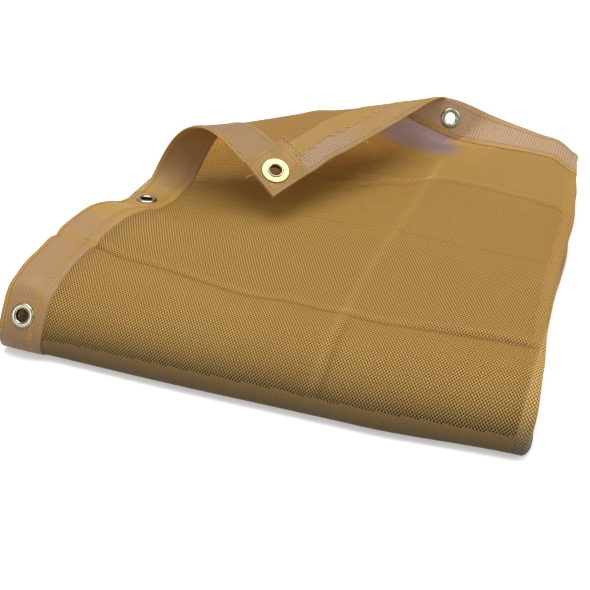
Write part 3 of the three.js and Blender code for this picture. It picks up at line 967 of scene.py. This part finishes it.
def gap_material():
    """Painted shade in closed holes: a dark sheet that stands for a dim layer behind, lets some light
    through and is darker still low on the front fold.
    """
    nodes = Nodes("dim_layer_behind")
    nodes.let_through(tint("glow"), LET_THROUGH["gap"])
    tone = nodes.mix(painted_low_shade_share(nodes), tint("gap", 1.8), tint("painted_low_shade", 0.5))
    return nodes.finish(tone, roughness=0.8)


# Where the turned-over corner, which gets painted shade, ends along u and along v, in metres
CORNER_SPAN = (0.27, 0.17)
# Golden zones of the hems: along which length, from and to and how soft in metres, and how strong.
# The ribs' pale pinkish tone outside them is partly a painted sheen; the side hem's broad zone
# along v and its narrow one at the crease are where that painted sheen is left off.
SIDE_GOLD = (
    ("u", -0.01, 0.0036, 0.0008, 0.9), ("v", 0.222, 0.338, 0.02, 0.95), ("v", 0.366, 0.382, 0.004, 0.7),
    ("u", 0.0295, 0.0335, 0.0008, 0.7),
)
END_GOLD = (("v", -0.01, 0.0025, 0.0008, 0.7), ("v", 0.0365, 0.05, 0.001, 0.8))
UNDER_SIDE_GOLD = (
    ("u", -0.01, 0.0045, 0.001, 0.9), ("v", 0.125, 1.0, 0.02, 0.85), ("u", 0.0385, 0.05, 0.0006, 0.7),
)
UNDER_END_GOLD = (
    ("v", 0.0215, 0.05, 0.0008, 1.0), ("u", 0.115, 2.0, 0.02, 0.8), ("v", -0.01, 0.003, 0.0008, 0.8),
)


def painted_corner_shade(nodes, deepest):
    """How much painted shade places get on the turned-over corner, up to the deepest share."""
    u, v = nodes.lengths()
    span_u, span_v = CORNER_SPAN
    past = nodes.times(v, 1 / span_v, nodes.times(u, 1 / span_u))
    return nodes.ramp(past, *TURNED_CORNER, 0.0, deepest)


def hem_material(name, pale, gold, shaded=0.0):
    """Ribbed tape: pale raised ribs with gold-brown lines between, crossed by finer threads, golden in
    the zones given. The ribs' pale pinkish tone is partly a painted sheen, and painted shade darkens
    the turned-over corner and the tape low on the front fold."""
    nodes = Nodes(name)
    places = dict(zip("uv", nodes.lengths()))
    across, along = nodes.cells()
    rib = nodes.wave(across, phase=math.pi)
    fine = nodes.wave(along, per_cell=3.0)
    worn = nodes.times(nodes.noise("rib", detail=3.0), RIB_WEAR, -RIB_WEAR / 2)
    ribs = nodes.ramp(nodes.math("ADD", nodes.times(fine, 0.6, rib), worn), *WORN_RIBS)
    golden = 0.0
    for axis, low, high, soft, share in gold:
        part = nodes.times(nodes.zone(places[axis], low, high, soft), share)
        golden = nodes.math("MAXIMUM", golden, part)
    tone = nodes.coats(
        tint("hem_line"),
        (ribs, nodes.mix(pale, tint("hem"), tint("hem_pale"))),
        (golden, nodes.mix(ribs, tint("hem_gold", 0.72), tint("hem_gold"))),
        # Painted shade on the turned-over corner
        (painted_corner_shade(nodes, shaded), tint("gap")),
        # Painted shade low on the front fold
        (nodes.times(painted_low_shade_share(nodes), 0.6), tint("painted_low_shade", 1.2)),
    )
    nodes.bump(nodes.times(fine, 0.45, nodes.times(rib, 0.5)), depth_mm=0.2, strength=0.7)
    nodes.let_through(tint("glow"), LET_THROUGH["hem"])
    return nodes.finish(tone, roughness=0.45, Specular_IOR_Level=0.4)


def patch_material():
    """Plain close cloth with rows of dark needle holes and a fine crossing weave."""
    nodes = Nodes("patch_cloth")
    across, along = nodes.cells()
    rows = nodes.times(nodes.wave(across, per_cell=1.5), nodes.wave(along, per_cell=1.5))
    spots = nodes.ramp(nodes.noise("needles"), *NEEDLED_PATCHES)
    tone = nodes.coats(
        tint("patch", 0.8),
        (nodes.ramp(nodes.noise("square", detail=3.0), *UNEVEN), tint("patch")),
        (nodes.times(nodes.ramp(rows, *NEEDLE_HOLES), spots), tint("gap", 1.6)),
    )
    weave = nodes.times(nodes.wave(across, per_cell=2.5), nodes.wave(along, per_cell=3.0))
    nodes.bump(weave, depth_mm=0.2, strength=0.6)
    return nodes.finish(tone, roughness=0.65, Specular_IOR_Level=0.3)


def thread_material(name, color):
    """Twisted sewing thread with a slight sheen."""
    nodes = Nodes(name)
    tone = nodes.mix(nodes.ramp(nodes.noise("thread"), *TWIST), tint(color, 0.8), tint(color))
    return nodes.finish(tone, roughness=0.5, Specular_IOR_Level=0.4)


def metal_material(name, color, roughness):
    """Plated metal, faintly uneven in its polish, with painted shade darkening it along its rims."""
    nodes = Nodes(name)
    worn = nodes.ramp(nodes.noise("polish", detail=3.0), *POLISH, roughness, roughness + 0.15)
    tone = nodes.coats(
        tint(color, 0.9),
        (nodes.ramp(nodes.noise("plating"), *UNEVEN), tint(color)),
        # Painted shade along the rims
        (nodes.lengths()[0], tint(color, 0.12)),
    )
    return nodes.finish(tone, roughness=worn, Metallic=1.0)


# Pieces


WEAVE_PIECES = (
    {"name": "mesh_back", "layer": 0, "u": (42, 453), "v": (42, 240)},
    {"name": "mesh_front", "layer": 0, "u": (42, 453), "v": (240, 530)},
    {"name": "mesh_second", "layer": 1, "u": (486, 905), "v": (42, 262)},
)
# The rest of the cloth, from and to along u and v, where None is the far side hem
CLOSE_PATCHES = (
    (42, 453.4, 529.2, 858), (453.4, 485.7, 42, 858), (485.7, 905.4, 261.4, 858), (905.4, None, 42, 858),
)
# Where side folds lie along u and the front fold along v, and the steps there and elsewhere
TURNS = {"at": (453, 466, 895, 915, 1340, 1390), "coarse": 8, "fine": 2.2, "reach": 30}
FRONTS = {"at": (400, 430, 460, 490, 510), "coarse": 7, "fine": 3, "reach": 25}
# Where the ribbed columns of an end hem begin and along u how far they go, how wide the columns
# are beyond, and how the ribs fade out before that
RIBS_FROM = 0.9
RIBS_TO = 475.0
WIDE_COLUMN = 2.2
RIBS_FADE = {"before": 30.0, "over": 25.0}
# The gap between hems where they meet, and how far the corner square lies in from the cloth's edges
HEM_GAP = 0.3
SQUARE_FROM = 0.4
# Steps of a rounded edge, from the edge inwards, and where the even steps begin
ROUNDED = (0, 0.12, 0.45)
EVEN_FROM = 1.2


def open_share():
    """How much of the weave is holes."""
    return mm("hole_across") * mm("hole_along") / (mm("cell_across") * mm("cell_along") / 2)


class TarpMesh(bpy.types.Operator):
    """Make the open weave of the layers that show"""
    bl_idname = "tarp.mesh"
    bl_label = "Open weave"

    def execute(self, context):
        yarn, gap, dim = mesh_material("coated_yarn", False), gap_material(), dim_material("dim_yarn")
        for row in WEAVE_PIECES:
            points, faces, uv, marks, shade = woven(row["layer"], row["u"], row["v"])
            # Closed holes of the top layer get the dark sheet of painted shade, and faces in the dark the
            # dim yarn, also painted shade
            materials = (yarn, yarn if row["layer"] else gap, dim)
            piece = new_piece(row["name"], points, faces, materials, uv, marks, shade, "mesh_panel")
            flat = [(high - low) * MM for low, high in (row["u"], row["v"])]
            flat[0] * flat[1] * (1 - open_share())
        return {"FINISHED"}


class TarpInner(bpy.types.Operator):
    """Make the mesh of the layers inside the packet and underneath it"""
    bl_idname = "tarp.inner"
    bl_label = "Inner layers"

    def execute(self, context):
        points, faces, places, dark = [], [], [], []
        first, area = 0, 0.0
        for low_u, high_u, low_v, high_v in CLOSE_PATCHES:
            v = fine_near(low_v, high_v, **FRONTS)[:, None]
            end = cloth_width(v) - mm("hem_width") if high_u is None else np.full_like(v, high_u)
            share = fine_near(low_u, float(end.mean()), **TURNS)
            share = (share - low_u) / (share[-1] - low_u)
            u = lerp(low_u, end, share[None, :])
            cells = quads(*cells_of(np.arange(u.size).reshape(u.shape)))
            points.append(cloth(u, v).reshape(-1, 3))
            faces.append(cells + first)
            places.append(cloth_uv(u, v))
            dark.append(in_the_dark(u, np.broadcast_to(v, u.shape)).ravel()[cells[:, 0]])
            first += u.size
            area += float(end.mean() - low_u) * (high_v - low_v)
        # The dim yarn is painted shade for the cloth in the dark
        materials = (mesh_material("close_yarn", True), dim_material("dim_close_yarn"))
        piece = new_piece("mesh_inner", np.vstack(points), [np.vstack(faces)], materials,
                          np.vstack(places), np.concatenate(dark), node="mesh_panel")
        return {"FINISHED"}


def rib_relief(u):
    """Ribs along v, one to a weave cell, that fade out where the columns get wide."""
    ribs = np.cos(2 * math.pi * (u - mm("hem_width")) / mm("cell_across"))
    fade = 1 - smooth((u - RIBS_TO + RIBS_FADE["before"]) / RIBS_FADE["over"])
    return mm("rib_height") / 2 * ribs * fade


def end_columns(length, rib, fine_to):
    """Columns of an end hem: four to a rib as far as it shows, then wide ones."""
    fine = np.arange(RIBS_FROM, fine_to, rib / 4)
    coarse = np.arange(max(fine_to, RIBS_FROM), length - EVEN_FROM, WIDE_COLUMN)
    return np.concatenate((ROUNDED, fine, coarse, [length - off for off in ROUNDED[::-1]]))


def edge_steps(low, high, step, near=()):
    """Even steps with a few finer ones at both ends, where the edge is rounded, and near seats."""
    low_even, high_even = low + EVEN_FROM, high - EVEN_FROM
    inner = np.linspace(low_even, high_even, max(2, int((high - low) / step)))
    if len(near):
        inner = fine_near(low_even, high_even, near, coarse=step, fine=0.8, reach=11)
    return np.concatenate(([low + off for off in ROUNDED], inner, [high - off for off in ROUNDED[::-1]]))


def finish_band(name, node, strip, pale, golds):
    """A hem from its strip, with one tape on its upper face and, underneath, one with painted shade on
    the turned-over corner.
    """
    points, faces, uv, top_count = strip
    marks = np.arange(sum(len(part) for part in faces)) >= top_count
    upper = hem_material(name + "_tape", pale, golds[0])
    # The under tape gets painted shade on the turned-over corner
    materials = (upper, hem_material(name + "_under", pale, golds[1], shaded=0.2))
    piece = new_piece(name, points, faces, materials, uv, marks, node=node)


class TarpBands(bpy.types.Operator):
    """Make the four ribbed hems"""
    bl_idname = "tarp.bands"
    bl_label = "Hems"

    def execute(self, context):
        hem, thick, rib = mm("hem_width"), mm("hem_thickness"), mm("cell_across")
        seats = {seat["name"]: seat for seat in seat_frames()}
        side_seats = [seats[name] for name in ("front", "side", "corner")]
        v = edge_steps(0, CLOTH_LENGTH, step=3.0, near=[seat["v"] for seat in side_seats])[:, None]
        u = edge_steps(0, hem, step=rib / 5)[None, :]
        finish_band("hem_side", "side_band", thick_sheet(u, v, thick, side_seats, rib_relief), pale=0.0,
                    golds=(SIDE_GOLD, UNDER_SIDE_GOLD))
        for name, node, low_v, holes in (("hem_end", "end_band", 0.0, [seats["back"]]),
                                         ("hem_far_end", "far_end_band", CLOTH_LENGTH - hem, [])):
            v = edge_steps(low_v, low_v + hem, step=4.0, near=[seat["v"] for seat in holes])[:, None]
            last = cloth_width(v) - hem
            length = float(last.mean()) - hem
            share = end_columns(length, rib, (RIBS_TO - hem) * bool(holes))
            u = lerp(hem + HEM_GAP, last - HEM_GAP, (share / share[-1])[None, :])
            strip = thick_sheet(u, v, thick, holes, rib_relief if holes else None)
            finish_band(name, node, strip, pale=0.6, golds=(END_GOLD, UNDER_END_GOLD))
        v = edge_steps(0, CLOTH_LENGTH, step=3.0)[:, None]
        u = cloth_width(v) - hem + HEM_GAP + edge_steps(0, hem - HEM_GAP, step=2.0)[None, :]
        finish_band("hem_far_side", "far_side_band", thick_sheet(u, v, thick), pale=0.3,
                    golds=(END_GOLD, END_GOLD))
        return {"FINISHED"}


class TarpPatch(bpy.types.Operator):
    """Make the plain square that backs the corner eyelet"""
    bl_idname = "tarp.patch"
    bl_label = "Corner square"

    def execute(self, context):
        size, thick = mm("patch_size"), mm("patch_thickness")
        seat = next(seat for seat in seat_frames() if seat["name"] == "corner")
        steps = edge_steps(SQUARE_FROM, size, step=1.3)
        sink = mm("hem_thickness") / 2 + mm("rib_height") + thick / 2
        points, faces, uv, _ = thick_sheet(steps[None, :], steps[:, None], thick, [seat], sink=sink)
        piece = new_piece("corner_square", points, faces, (patch_material(),), uv,
                          node="corner_patch")
        return {"FINISHED"}


RING_SIDES = 72
# Sections of the rings in millimetres: their walls, how they clear the cloth and each other, the
# half sizes of the rolled lip, the washer's shallow dish from its bore outwards, and as shares
# how far up the flange a painted shade reaches and how strongly it darkens the lip and the washer's rims
EYELET = {"wall": 0.6, "clear": 0.1, "past_washer": 0.2, "lip": (1.0, 0.9), "lip_inside": (0.4, 0.35),
          "painted_shade_to": 0.45, "lip_painted_shade": 0.15}
WASHER = {"clear": 0.05, "dish_in": 1.6, "dish_out": 1.0, "dish_depths": (0.08, 0.12, 0.05),
          "bore_clear": 0.5, "bore_round": 0.3, "painted_rim_shade": 0.85}


def turned(kind, profile, rim, seat, material):
    """A ring, an eyelet or a washer: the closed profile of radius and height, carried round the
    seat's normal. Rim tells how much painted shade each place of the profile gets, from zero to one."""
    angle = np.linspace(0, 2 * math.pi, RING_SIDES, endpoint=False)[:, None]
    normal = seat["normal"]
    first = unit(np.cross(normal, (0.0, 0.0, 1.0) if abs(normal[2]) < 0.9 else (1.0, 0.0, 0.0)))
    round_it = np.cos(angle) * first + np.sin(angle) * np.cross(normal, first)
    points = seat["centre"] + profile[None, :, :1] * round_it[:, None, :] + profile[None, :, 1:] * normal
    corner = np.arange(RING_SIDES * len(profile)).reshape(RING_SIDES, -1)
    beside = np.roll(corner, -1, axis=0)
    faces = quads(corner, beside, np.roll(beside, -1, axis=1), np.roll(corner, -1, axis=1))
    painted_rim_shade = np.zeros((*corner.shape, 2))
    painted_rim_shade[..., 0] = rim
    new_piece(kind + "_ring_" + seat["name"], points, [faces], (material,), painted_rim_shade.reshape(-1, 2),
              node=kind + "_" + seat["name"])


def arc(centre, radii, start, end, steps):
    """Points of an ellipse's arc, angles in degrees."""
    angle = np.radians(np.linspace(start, end, steps))
    return np.column_stack((centre[0] + radii[0] * np.cos(angle), centre[1] + radii[1] * np.sin(angle)))


class TarpEyelets(bpy.types.Operator):
    """Make the eyelets and their washers"""
    bl_idname = "tarp.eyelets"
    bl_label = "Eyelets and washers"

    def execute(self, context):
        bore, flange, washer = mm("eyelet_bore") / 2, mm("eyelet_flange") / 2, mm("washer") / 2
        thick, rise, wall = mm("washer_thickness"), mm("eyelet_rise"), EYELET["wall"]
        cloth_top = mm("hem_thickness") / 2 + EYELET["clear"]
        half, middle = (flange - bore) / 2, ((bore + flange) / 2, cloth_top)
        plated = metal_material("plated_brass", "eyelet", roughness=0.16)
        pale = metal_material("pale_brass", "washer", roughness=0.34)
        for seat in seat_frames():
            top = -seat["under"] - WASHER["clear"]
            lip = (bore + EYELET["lip"][0], -(seat["under"] + thick + EYELET["past_washer"]))
            profile = np.vstack((
                arc(middle, (half, rise), 180, 0, steps=17),
                arc(middle, (half - wall, rise - wall), 0, 180, steps=9),
                arc(lip, EYELET["lip_inside"], 180, 360, steps=5),
                arc(lip, EYELET["lip"], 360, 180, steps=9),
            ))[::-1]
            # Painted shade low on the flange, where it meets the cloth
            low_down = 1 - smooth((profile[:, 1] - cloth_top) / (rise * EYELET["painted_shade_to"]))
            rim = np.where(profile[:, 1] < lip[1] + 1.0, EYELET["lip_painted_shade"], low_down)
            turned("eyelet", profile, rim, seat, plated)
            flat_from, flat_to = bore + wall + WASHER["dish_in"], washer - WASHER["dish_out"]
            inner, middle_dish, outer = (top - thick - depth for depth in WASHER["dish_depths"])
            dish = ((flat_to, outer), ((bore + washer) / 2, middle_dish), (flat_from, inner))
            hole = (bore + wall + WASHER["bore_clear"], top - thick / 2)
            profile = np.vstack((
                arc((washer - thick / 2, top - thick / 2), (thick / 2, thick / 2), 90, -90, steps=7),
                dish,
                arc(hole, (WASHER["bore_round"], thick / 2), 270, 90, steps=7),
            ))[::-1]
            outside = (profile[:, 0] > flat_to + 0.1) | (profile[:, 0] < flat_from - 0.1)
            turned("washer", profile, np.where(outside, WASHER["painted_rim_shade"], 0.0), seat, pale)
        return {"FINISHED"}


THREAD_SIDES = 6
# How thick a thread is at its very ends, as a share
THREAD_TIP = 0.15
# How high loose threads lie, and how much their run, swing and height vary
THREAD_LIFT = 0.5
UNEVEN_THREAD = {"run": 0.3, "swing": 0.6, "lift": 0.4}


def tubes(centres, sides_a, sides_b, radius):
    """Round threads: for each thread a row of centres with two cross directions. Ends are drawn
    to a point. Returns points, four-sided faces and caps."""
    threads, steps = centres.shape[:2]
    angle = np.linspace(0, 2 * math.pi, THREAD_SIDES, endpoint=False)[:, None]
    thickness = np.full((steps, 1, 1), radius)
    thickness[[0, -1]] = radius * THREAD_TIP
    ring = np.cos(angle) * sides_a[:, :, None, :] + np.sin(angle) * sides_b[:, :, None, :]
    points = centres[:, :, None, :] + ring * thickness
    corner = np.arange(threads * steps * THREAD_SIDES).reshape(threads, steps, THREAD_SIDES)
    near, far = corner[:, :-1], corner[:, 1:]
    caps = np.vstack((corner[:, 0], corner[:, -1, ::-1]))
    return points.reshape(-1, 3), quads(near, far, np.roll(far, -1, 2), np.roll(near, -1, 2)), caps


def laid(point, normal, lift):
    """Centres of threads lifted from points of the cloth, with the two directions across them."""
    centres = point + normal * lift
    forward = unit(np.gradient(centres, axis=1))
    across = unit(np.cross(forward, normal))
    return centres, across, np.cross(across, forward)


# One stitch from end to end, in half lengths along and in millimetres up
STITCH_SHAPE = {"along": (-1.0, -0.72, 0.0, 0.72, 1.0), "up": (-0.3, 0.3, 0.45, 0.3, -0.3)}


def stitch_row(start, end, side, lift):
    """A straight run of stitches from one place on the cloth to another, on its upper face (side
    1) or its under face (side -1): each is a short thread that dips into the cloth at both ends."""
    start, end = np.asarray(start, float), np.asarray(end, float)
    length = np.linalg.norm(end - start)
    count = max(1, int(length / mm("stitch_pitch")))
    middle = (np.arange(count) + 0.5) * length / count
    offsets = np.array(STITCH_SHAPE["along"]) * mm("stitch_length") / 2
    at = start + (middle[:, None] + offsets)[..., None] * (end - start) / length
    point, normal, _ = (part.reshape(at.shape[:2] + (3,)) for part in frame_at(*at.reshape(-1, 2).T))
    return laid(point, normal, side * (lift + np.array(STITCH_SHAPE["up"]))[None, :, None])


# Rows of stitches: from and to as u, v on the cloth, and the face that they show on
STITCH_ROWS = (
    ((4, 4), (4, 494), 1), ((30.3, 46), (30.3, 494), 1), ((32.9, 46), (32.9, 494), 1),
    ((46, 6), (424, 6), 1), ((46, 35), (424, 35), 1),
    ((4, 50), (4, 232), -1), ((37, 50), (37, 232), -1), ((52, 5), (300, 5), -1),
    ((6, 44), (44, 44), -1), ((44, 6), (44, 44), -1), ((5, 5), (5, 44), -1), ((5, 5), (44, 5), -1),
)
# Rows that end within this are sewn on the corner square
SQUARE_TO = 44
STITCH_LIFT = 0.15


class TarpStitches(bpy.types.Operator):
    """Sew the rows of stitches along the hems and round the corner square"""
    bl_idname = "tarp.stitches"
    bl_label = "Stitches"

    def execute(self, context):
        gathered = []
        for start, end, side in STITCH_ROWS:
            lift = mm("hem_thickness") / 2 + STITCH_LIFT
            if side < 0 and max(start + end) <= SQUARE_TO:
                lift += mm("patch_thickness")
            gathered.append(stitch_row(start, end, side, lift))
        rows = (np.concatenate(part) for part in zip(*gathered))
        points, *faces = tubes(*rows, mm("thread") / 2)
        new_piece("hem_stitches", points, faces, (thread_material("gold_thread", "thread"),))
        return {"FINISHED"}


def loose_thread(places):
    """A loose thread on the cloth's under face through places u, v and height, smoothed between
    them."""
    places = np.asarray(places, float)
    fine = np.linspace(0, len(places) - 1, (len(places) - 1) * 8 + 1)
    at = np.clip(fine.astype(int), 0, len(places) - 2)
    share = (fine - at)[:, None]
    before = places[np.clip(at - 1, 0, None)]
    after = places[np.clip(at + 2, None, len(places) - 1)]
    a, b = places[at], places[at + 1]
    path = 0.5 * (2 * a + (b - before) * share + (2 * before - 5 * a + 4 * b - after) * share ** 2
                  + (3 * a - before - 3 * b + after) * share ** 3)
    point, normal, _ = frame_at(path[:, 0], path[:, 1])
    return laid(point[None], normal[None], -(mm("hem_thickness") / 2 + path[None, :, 2:3]))


def zigzag(start, end, pitch, swing):
    """Places of a thread that swings from side to side of a line, a little unevenly."""
    start, end = np.asarray(start, float), np.asarray(end, float)
    length = np.linalg.norm(end - start)
    along = (end - start) / length
    aside = np.array((-along[1], along[0]))
    count = int(length / pitch)
    step = np.arange(count + 1)
    uneven = np.sin(step * 2.3) * 0.5 + np.sin(step * 0.9) * 0.4
    run = (step + UNEVEN_THREAD["run"] * uneven) * length / count
    off = np.where(step % 2 == 0, 1, -1) * swing * (1 + uneven * UNEVEN_THREAD["swing"])
    flat = start + run[:, None] * along + off[:, None] * aside
    return np.column_stack((flat, THREAD_LIFT + UNEVEN_THREAD["lift"] * np.abs(uneven)))


# Loose threads along seams: from and to as u, v, the length of a swing and how wide it is
SEAM_THREADS = (
    ((50, 23), (150, 22.5), 6.5, 1.3), ((156, 23), (232, 23), 7.0, 0.9),
    ((49, 14), (49, 52), 3.0, 0.9), ((54, 14), (54, 52), 3.0, 0.9),
)
# The thread end that stands over the side edge, as u, v and height
THREAD_END = ((3, 30, 0.2), (-1, 31, 0.6), (-5, 33, 0.2), (-9, 33, -1.5))
# How thick a loose thread is, as a share of the sewing thread's diameter
LOOSE_THICKNESS = 0.45


class TarpThreads(bpy.types.Operator):
    """Lay the loose threads on the under face of the curled corner"""
    bl_idname = "tarp.threads"
    bl_label = "Loose threads"

    def execute(self, context):
        points, faces, caps, first = [], [], [], 0
        for places in (*(zigzag(*row) for row in SEAM_THREADS), THREAD_END):
            some, walls, ends = tubes(*loose_thread(places), mm("thread") * LOOSE_THICKNESS)
            points.append(some)
            faces.append(walls + first)
            caps.append(ends + first)
            first += len(some)
        new_piece("loose_threads", np.vstack(points), [np.vstack(faces), np.vstack(caps)],
                  (thread_material("pale_thread", "loose_thread"),))
        return {"FINISHED"}


# The lights: name, place and target in metres, size in metres and power in watts
LIGHTS = (
    ("key", (-0.15, 0.45, 2.4), (0, 0, 0.03), 2.5, 70),
    ("front_fill", (-0.8, -2.2, 1.3), (0, -0.1, 0.03), 1.4, 15),
    ("side_fill", (2.2, 0.3, 1.4), (0, 0, 0.03), 1.6, 20),
)
# Half the floor's side in metres, and how pale it is and how much it shines of itself
FLOOR_HALF = 6.0
FLOOR = {"tone": 0.78, "glow": 0.28}
WORLD_STRENGTH = 0.58
# The camera: place in metres, turn in degrees, and lens and sensor in millimetres
CAMERA = {"place": (0.2308, -0.7752, 0.547), "turn": (54.0, 0.0, 18.7), "lens": 58.6, "sensor": 36.0}


def area_light(name, place, target, size, power):
    data = bpy.data.lights.new(name, "AREA")
    data.shape = "DISK"
    data.size = size
    data.energy = power
    lamp = bpy.data.objects.new(name, data)
    bpy.context.collection.objects.link(lamp)
    lamp.location = place
    aim = np.asarray(target, float) - np.asarray(place, float)
    flat = math.hypot(aim[0], aim[1])
    lamp.rotation_euler = (math.pi / 2 + math.atan2(aim[2], flat), 0, math.atan2(-aim[0], aim[1]))


class TarpStage(bpy.types.Operator):
    """Set the floor and the lights"""
    bl_idname = "tarp.stage"
    bl_label = "Stage"

    def execute(self, context):
        mesh = bpy.data.meshes.new("floor")
        wide, tone = FLOOR_HALF, FLOOR["tone"]
        mesh.from_pydata([(-wide, -wide, 0), (wide, -wide, 0), (wide, wide, 0), (-wide, wide, 0)], [],
                         [(0, 1, 2, 3)])
        floor = bpy.data.objects.new("floor", mesh)
        context.collection.objects.link(floor)
        nodes = Nodes("pale_floor")
        mesh.materials.append(nodes.finish(
            rgba((tone, tone, tone)), roughness=0.9, Specular_IOR_Level=0.1,
            Emission_Color=rgba((1, 1, 1)), Emission_Strength=FLOOR["glow"],
        ))
        world = context.scene.world or bpy.data.worlds.new("studio")
        context.scene.world = world
        world.use_nodes = True
        background = world.node_tree.nodes["Background"].inputs
        background["Color"].default_value = (1, 1, 1, 1)
        background["Strength"].default_value = WORLD_STRENGTH
        for light in LIGHTS:
            area_light(*light)
        context.scene.view_settings.view_transform = "Standard"
        return {"FINISHED"}


class TarpCamera(bpy.types.Operator):
    """Set the camera at the photograph's angle"""
    bl_idname = "tarp.camera"
    bl_label = "Camera"

    def execute(self, context):
        data = bpy.data.cameras.new("camera")
        data.sensor_width = CAMERA["sensor"]
        data.lens = CAMERA["lens"]
        data.clip_start = 0.01
        camera = bpy.data.objects.new("camera", data)
        context.collection.objects.link(camera)
        camera.location = CAMERA["place"]
        camera.rotation_euler = [math.radians(angle) for angle in CAMERA["turn"]]
        context.scene.camera = camera
        return {"FINISHED"}


def length_property(name, description, default):
    return FloatProperty(name=name, description=description, default=default, unit="LENGTH",
                         subtype="DISTANCE", precision=5)


def colour_property(name, description, default):
    return FloatVectorProperty(name=name, description=description, default=default,
                               subtype="COLOR", min=0.0, max=1.0)


class TarpSizes(bpy.types.PropertyGroup):
    hem_width: length_property("Hem width", "Width of each hem", 0.042)
    hem_thickness: length_property("Hem thickness", "Thickness of the hems", 0.002)
    rib_height: length_property("Rib height", "How far the ribs of a hem stand up", 0.0002)
    cell_across: length_property("Cell across", "Width of a weave cell along u", 0.00279)
    cell_along: length_property("Cell along", "Length of a weave cell along v", 0.00357)
    hole_across: length_property("Hole across", "Width of a hole in the mesh", 0.0013)
    hole_along: length_property("Hole along", "Length of a hole in the mesh", 0.0012)
    patch_size: length_property("Corner square", "Side of the square behind the corner eyelet", 0.048)
    patch_thickness: length_property("Square thickness", "Thickness of the corner square", 0.0009)
    eyelet_bore: length_property("Eyelet bore", "Diameter of an eyelet's hole", 0.012)
    eyelet_flange: length_property("Eyelet flange", "Outer diameter of an eyelet's flange", 0.022)
    eyelet_rise: length_property("Eyelet rise", "Height of an eyelet's flange over the cloth", 0.0017)
    washer: length_property("Washer", "Outer diameter of a washer", 0.028)
    washer_thickness: length_property("Washer thickness", "Thickness of a washer", 0.0008)
    thread: length_property("Thread", "Diameter of the sewing thread", 0.0006)
    stitch_pitch: length_property("Stitch pitch", "From one stitch to the next", 0.0042)
    stitch_length: length_property("Stitch length", "Length of one stitch", 0.0034)


class TarpColours(bpy.types.PropertyGroup):
    yarn: colour_property("Yarn", "Coated yarn of the mesh", (0.62, 0.380, 0.086))
    # Tone of the painted greyish see-through shade where the mesh stands against the light
    painted_see_through: colour_property("Sheer yarn", "Yarn that stands up against the light", (0.25, 0.19, 0.225))
    # Tone of the painted highlight along the ridges of creases
    painted_crease_highlight: colour_property("Lit yarn", "Yarn along the ridges of creases", (0.78, 0.50, 0.15))
    glow: colour_property("Glow", "Light let through the cloth", (0.95, 0.42, 0.04))
    # Deeper tone of the yarn in broad patches, and painted shade on the turned-over corner
    deep_yarn_and_shade: colour_property("Deep yarn", "Deeper tone of the yarn in broad patches", (0.44, 0.235, 0.05))
    # Dark of painted holes and needle holes, and painted shade in closed holes and on the hems' turned-over
    # corner
    gap: colour_property("Gap", "What shows in a painted hole", (0.07, 0.035, 0.01))
    # Tone of the painted shade low on the front fold
    painted_low_shade: colour_property("Dusk", "Tone low on the front fold", (0.022, 0.013, 0.008))
    hem: colour_property("Hem", "Ribs of the hems", (0.335, 0.196, 0.077))
    hem_pale: colour_property("Pale hem", "Paler ribs of the end hem", (0.46, 0.345, 0.235))
    hem_line: colour_property("Hem lines", "Lines between the ribs", (0.265, 0.145, 0.055))
    hem_gold: colour_property("Golden hem", "Golden zones of the hems", (0.40, 0.225, 0.038))
    patch: colour_property("Corner square", "Cloth of the corner square", (0.31, 0.18, 0.055))
    thread: colour_property("Thread", "Sewing thread", (0.50, 0.30, 0.085))
    loose_thread: colour_property("Loose thread", "Loose thread ends", (0.55, 0.34, 0.11))
    eyelet: colour_property("Eyelet", "Plating of the eyelets", (0.36, 0.345, 0.25))
    washer: colour_property("Washer", "Plating of the washers", (0.43, 0.385, 0.185))


OPERATORS = (TarpCamera, TarpMesh, TarpInner, TarpBands, TarpPatch, TarpEyelets, TarpStitches,
             TarpThreads, TarpStage)


class TarpPanel(bpy.types.Panel):
    bl_label = "Mesh tarp"
    bl_idname = "VIEW3D_PT_tarp"
    bl_space_type = "VIEW_3D"
    bl_region_type = "UI"
    bl_category = "Tarp"

    def draw(self, context):
        for group in (context.scene.tarp_sizes, context.scene.tarp_colours):
            box = self.layout.box()
            for name in group.__annotations__:
                box.prop(group, name)
        for operator in OPERATORS:
            self.layout.operator(operator.bl_idname)


CLASSES = (TarpSizes, TarpColours, *OPERATORS, TarpPanel)


def register():
    for item in CLASSES:
        bpy.utils.register_class(item)
    bpy.types.Scene.tarp_sizes = PointerProperty(type=TarpSizes)
    bpy.types.Scene.tarp_colours = PointerProperty(type=TarpColours)


def unregister():
    del bpy.types.Scene.tarp_sizes
    del bpy.types.Scene.tarp_colours
    for item in reversed(CLASSES):
        bpy.utils.unregister_class(item)


def main():
    register()
    for operator in OPERATORS:
        group, name = operator.bl_idname.split(".")
        getattr(getattr(bpy.ops, group), name)()


if __name__ == "__main__":
    main()
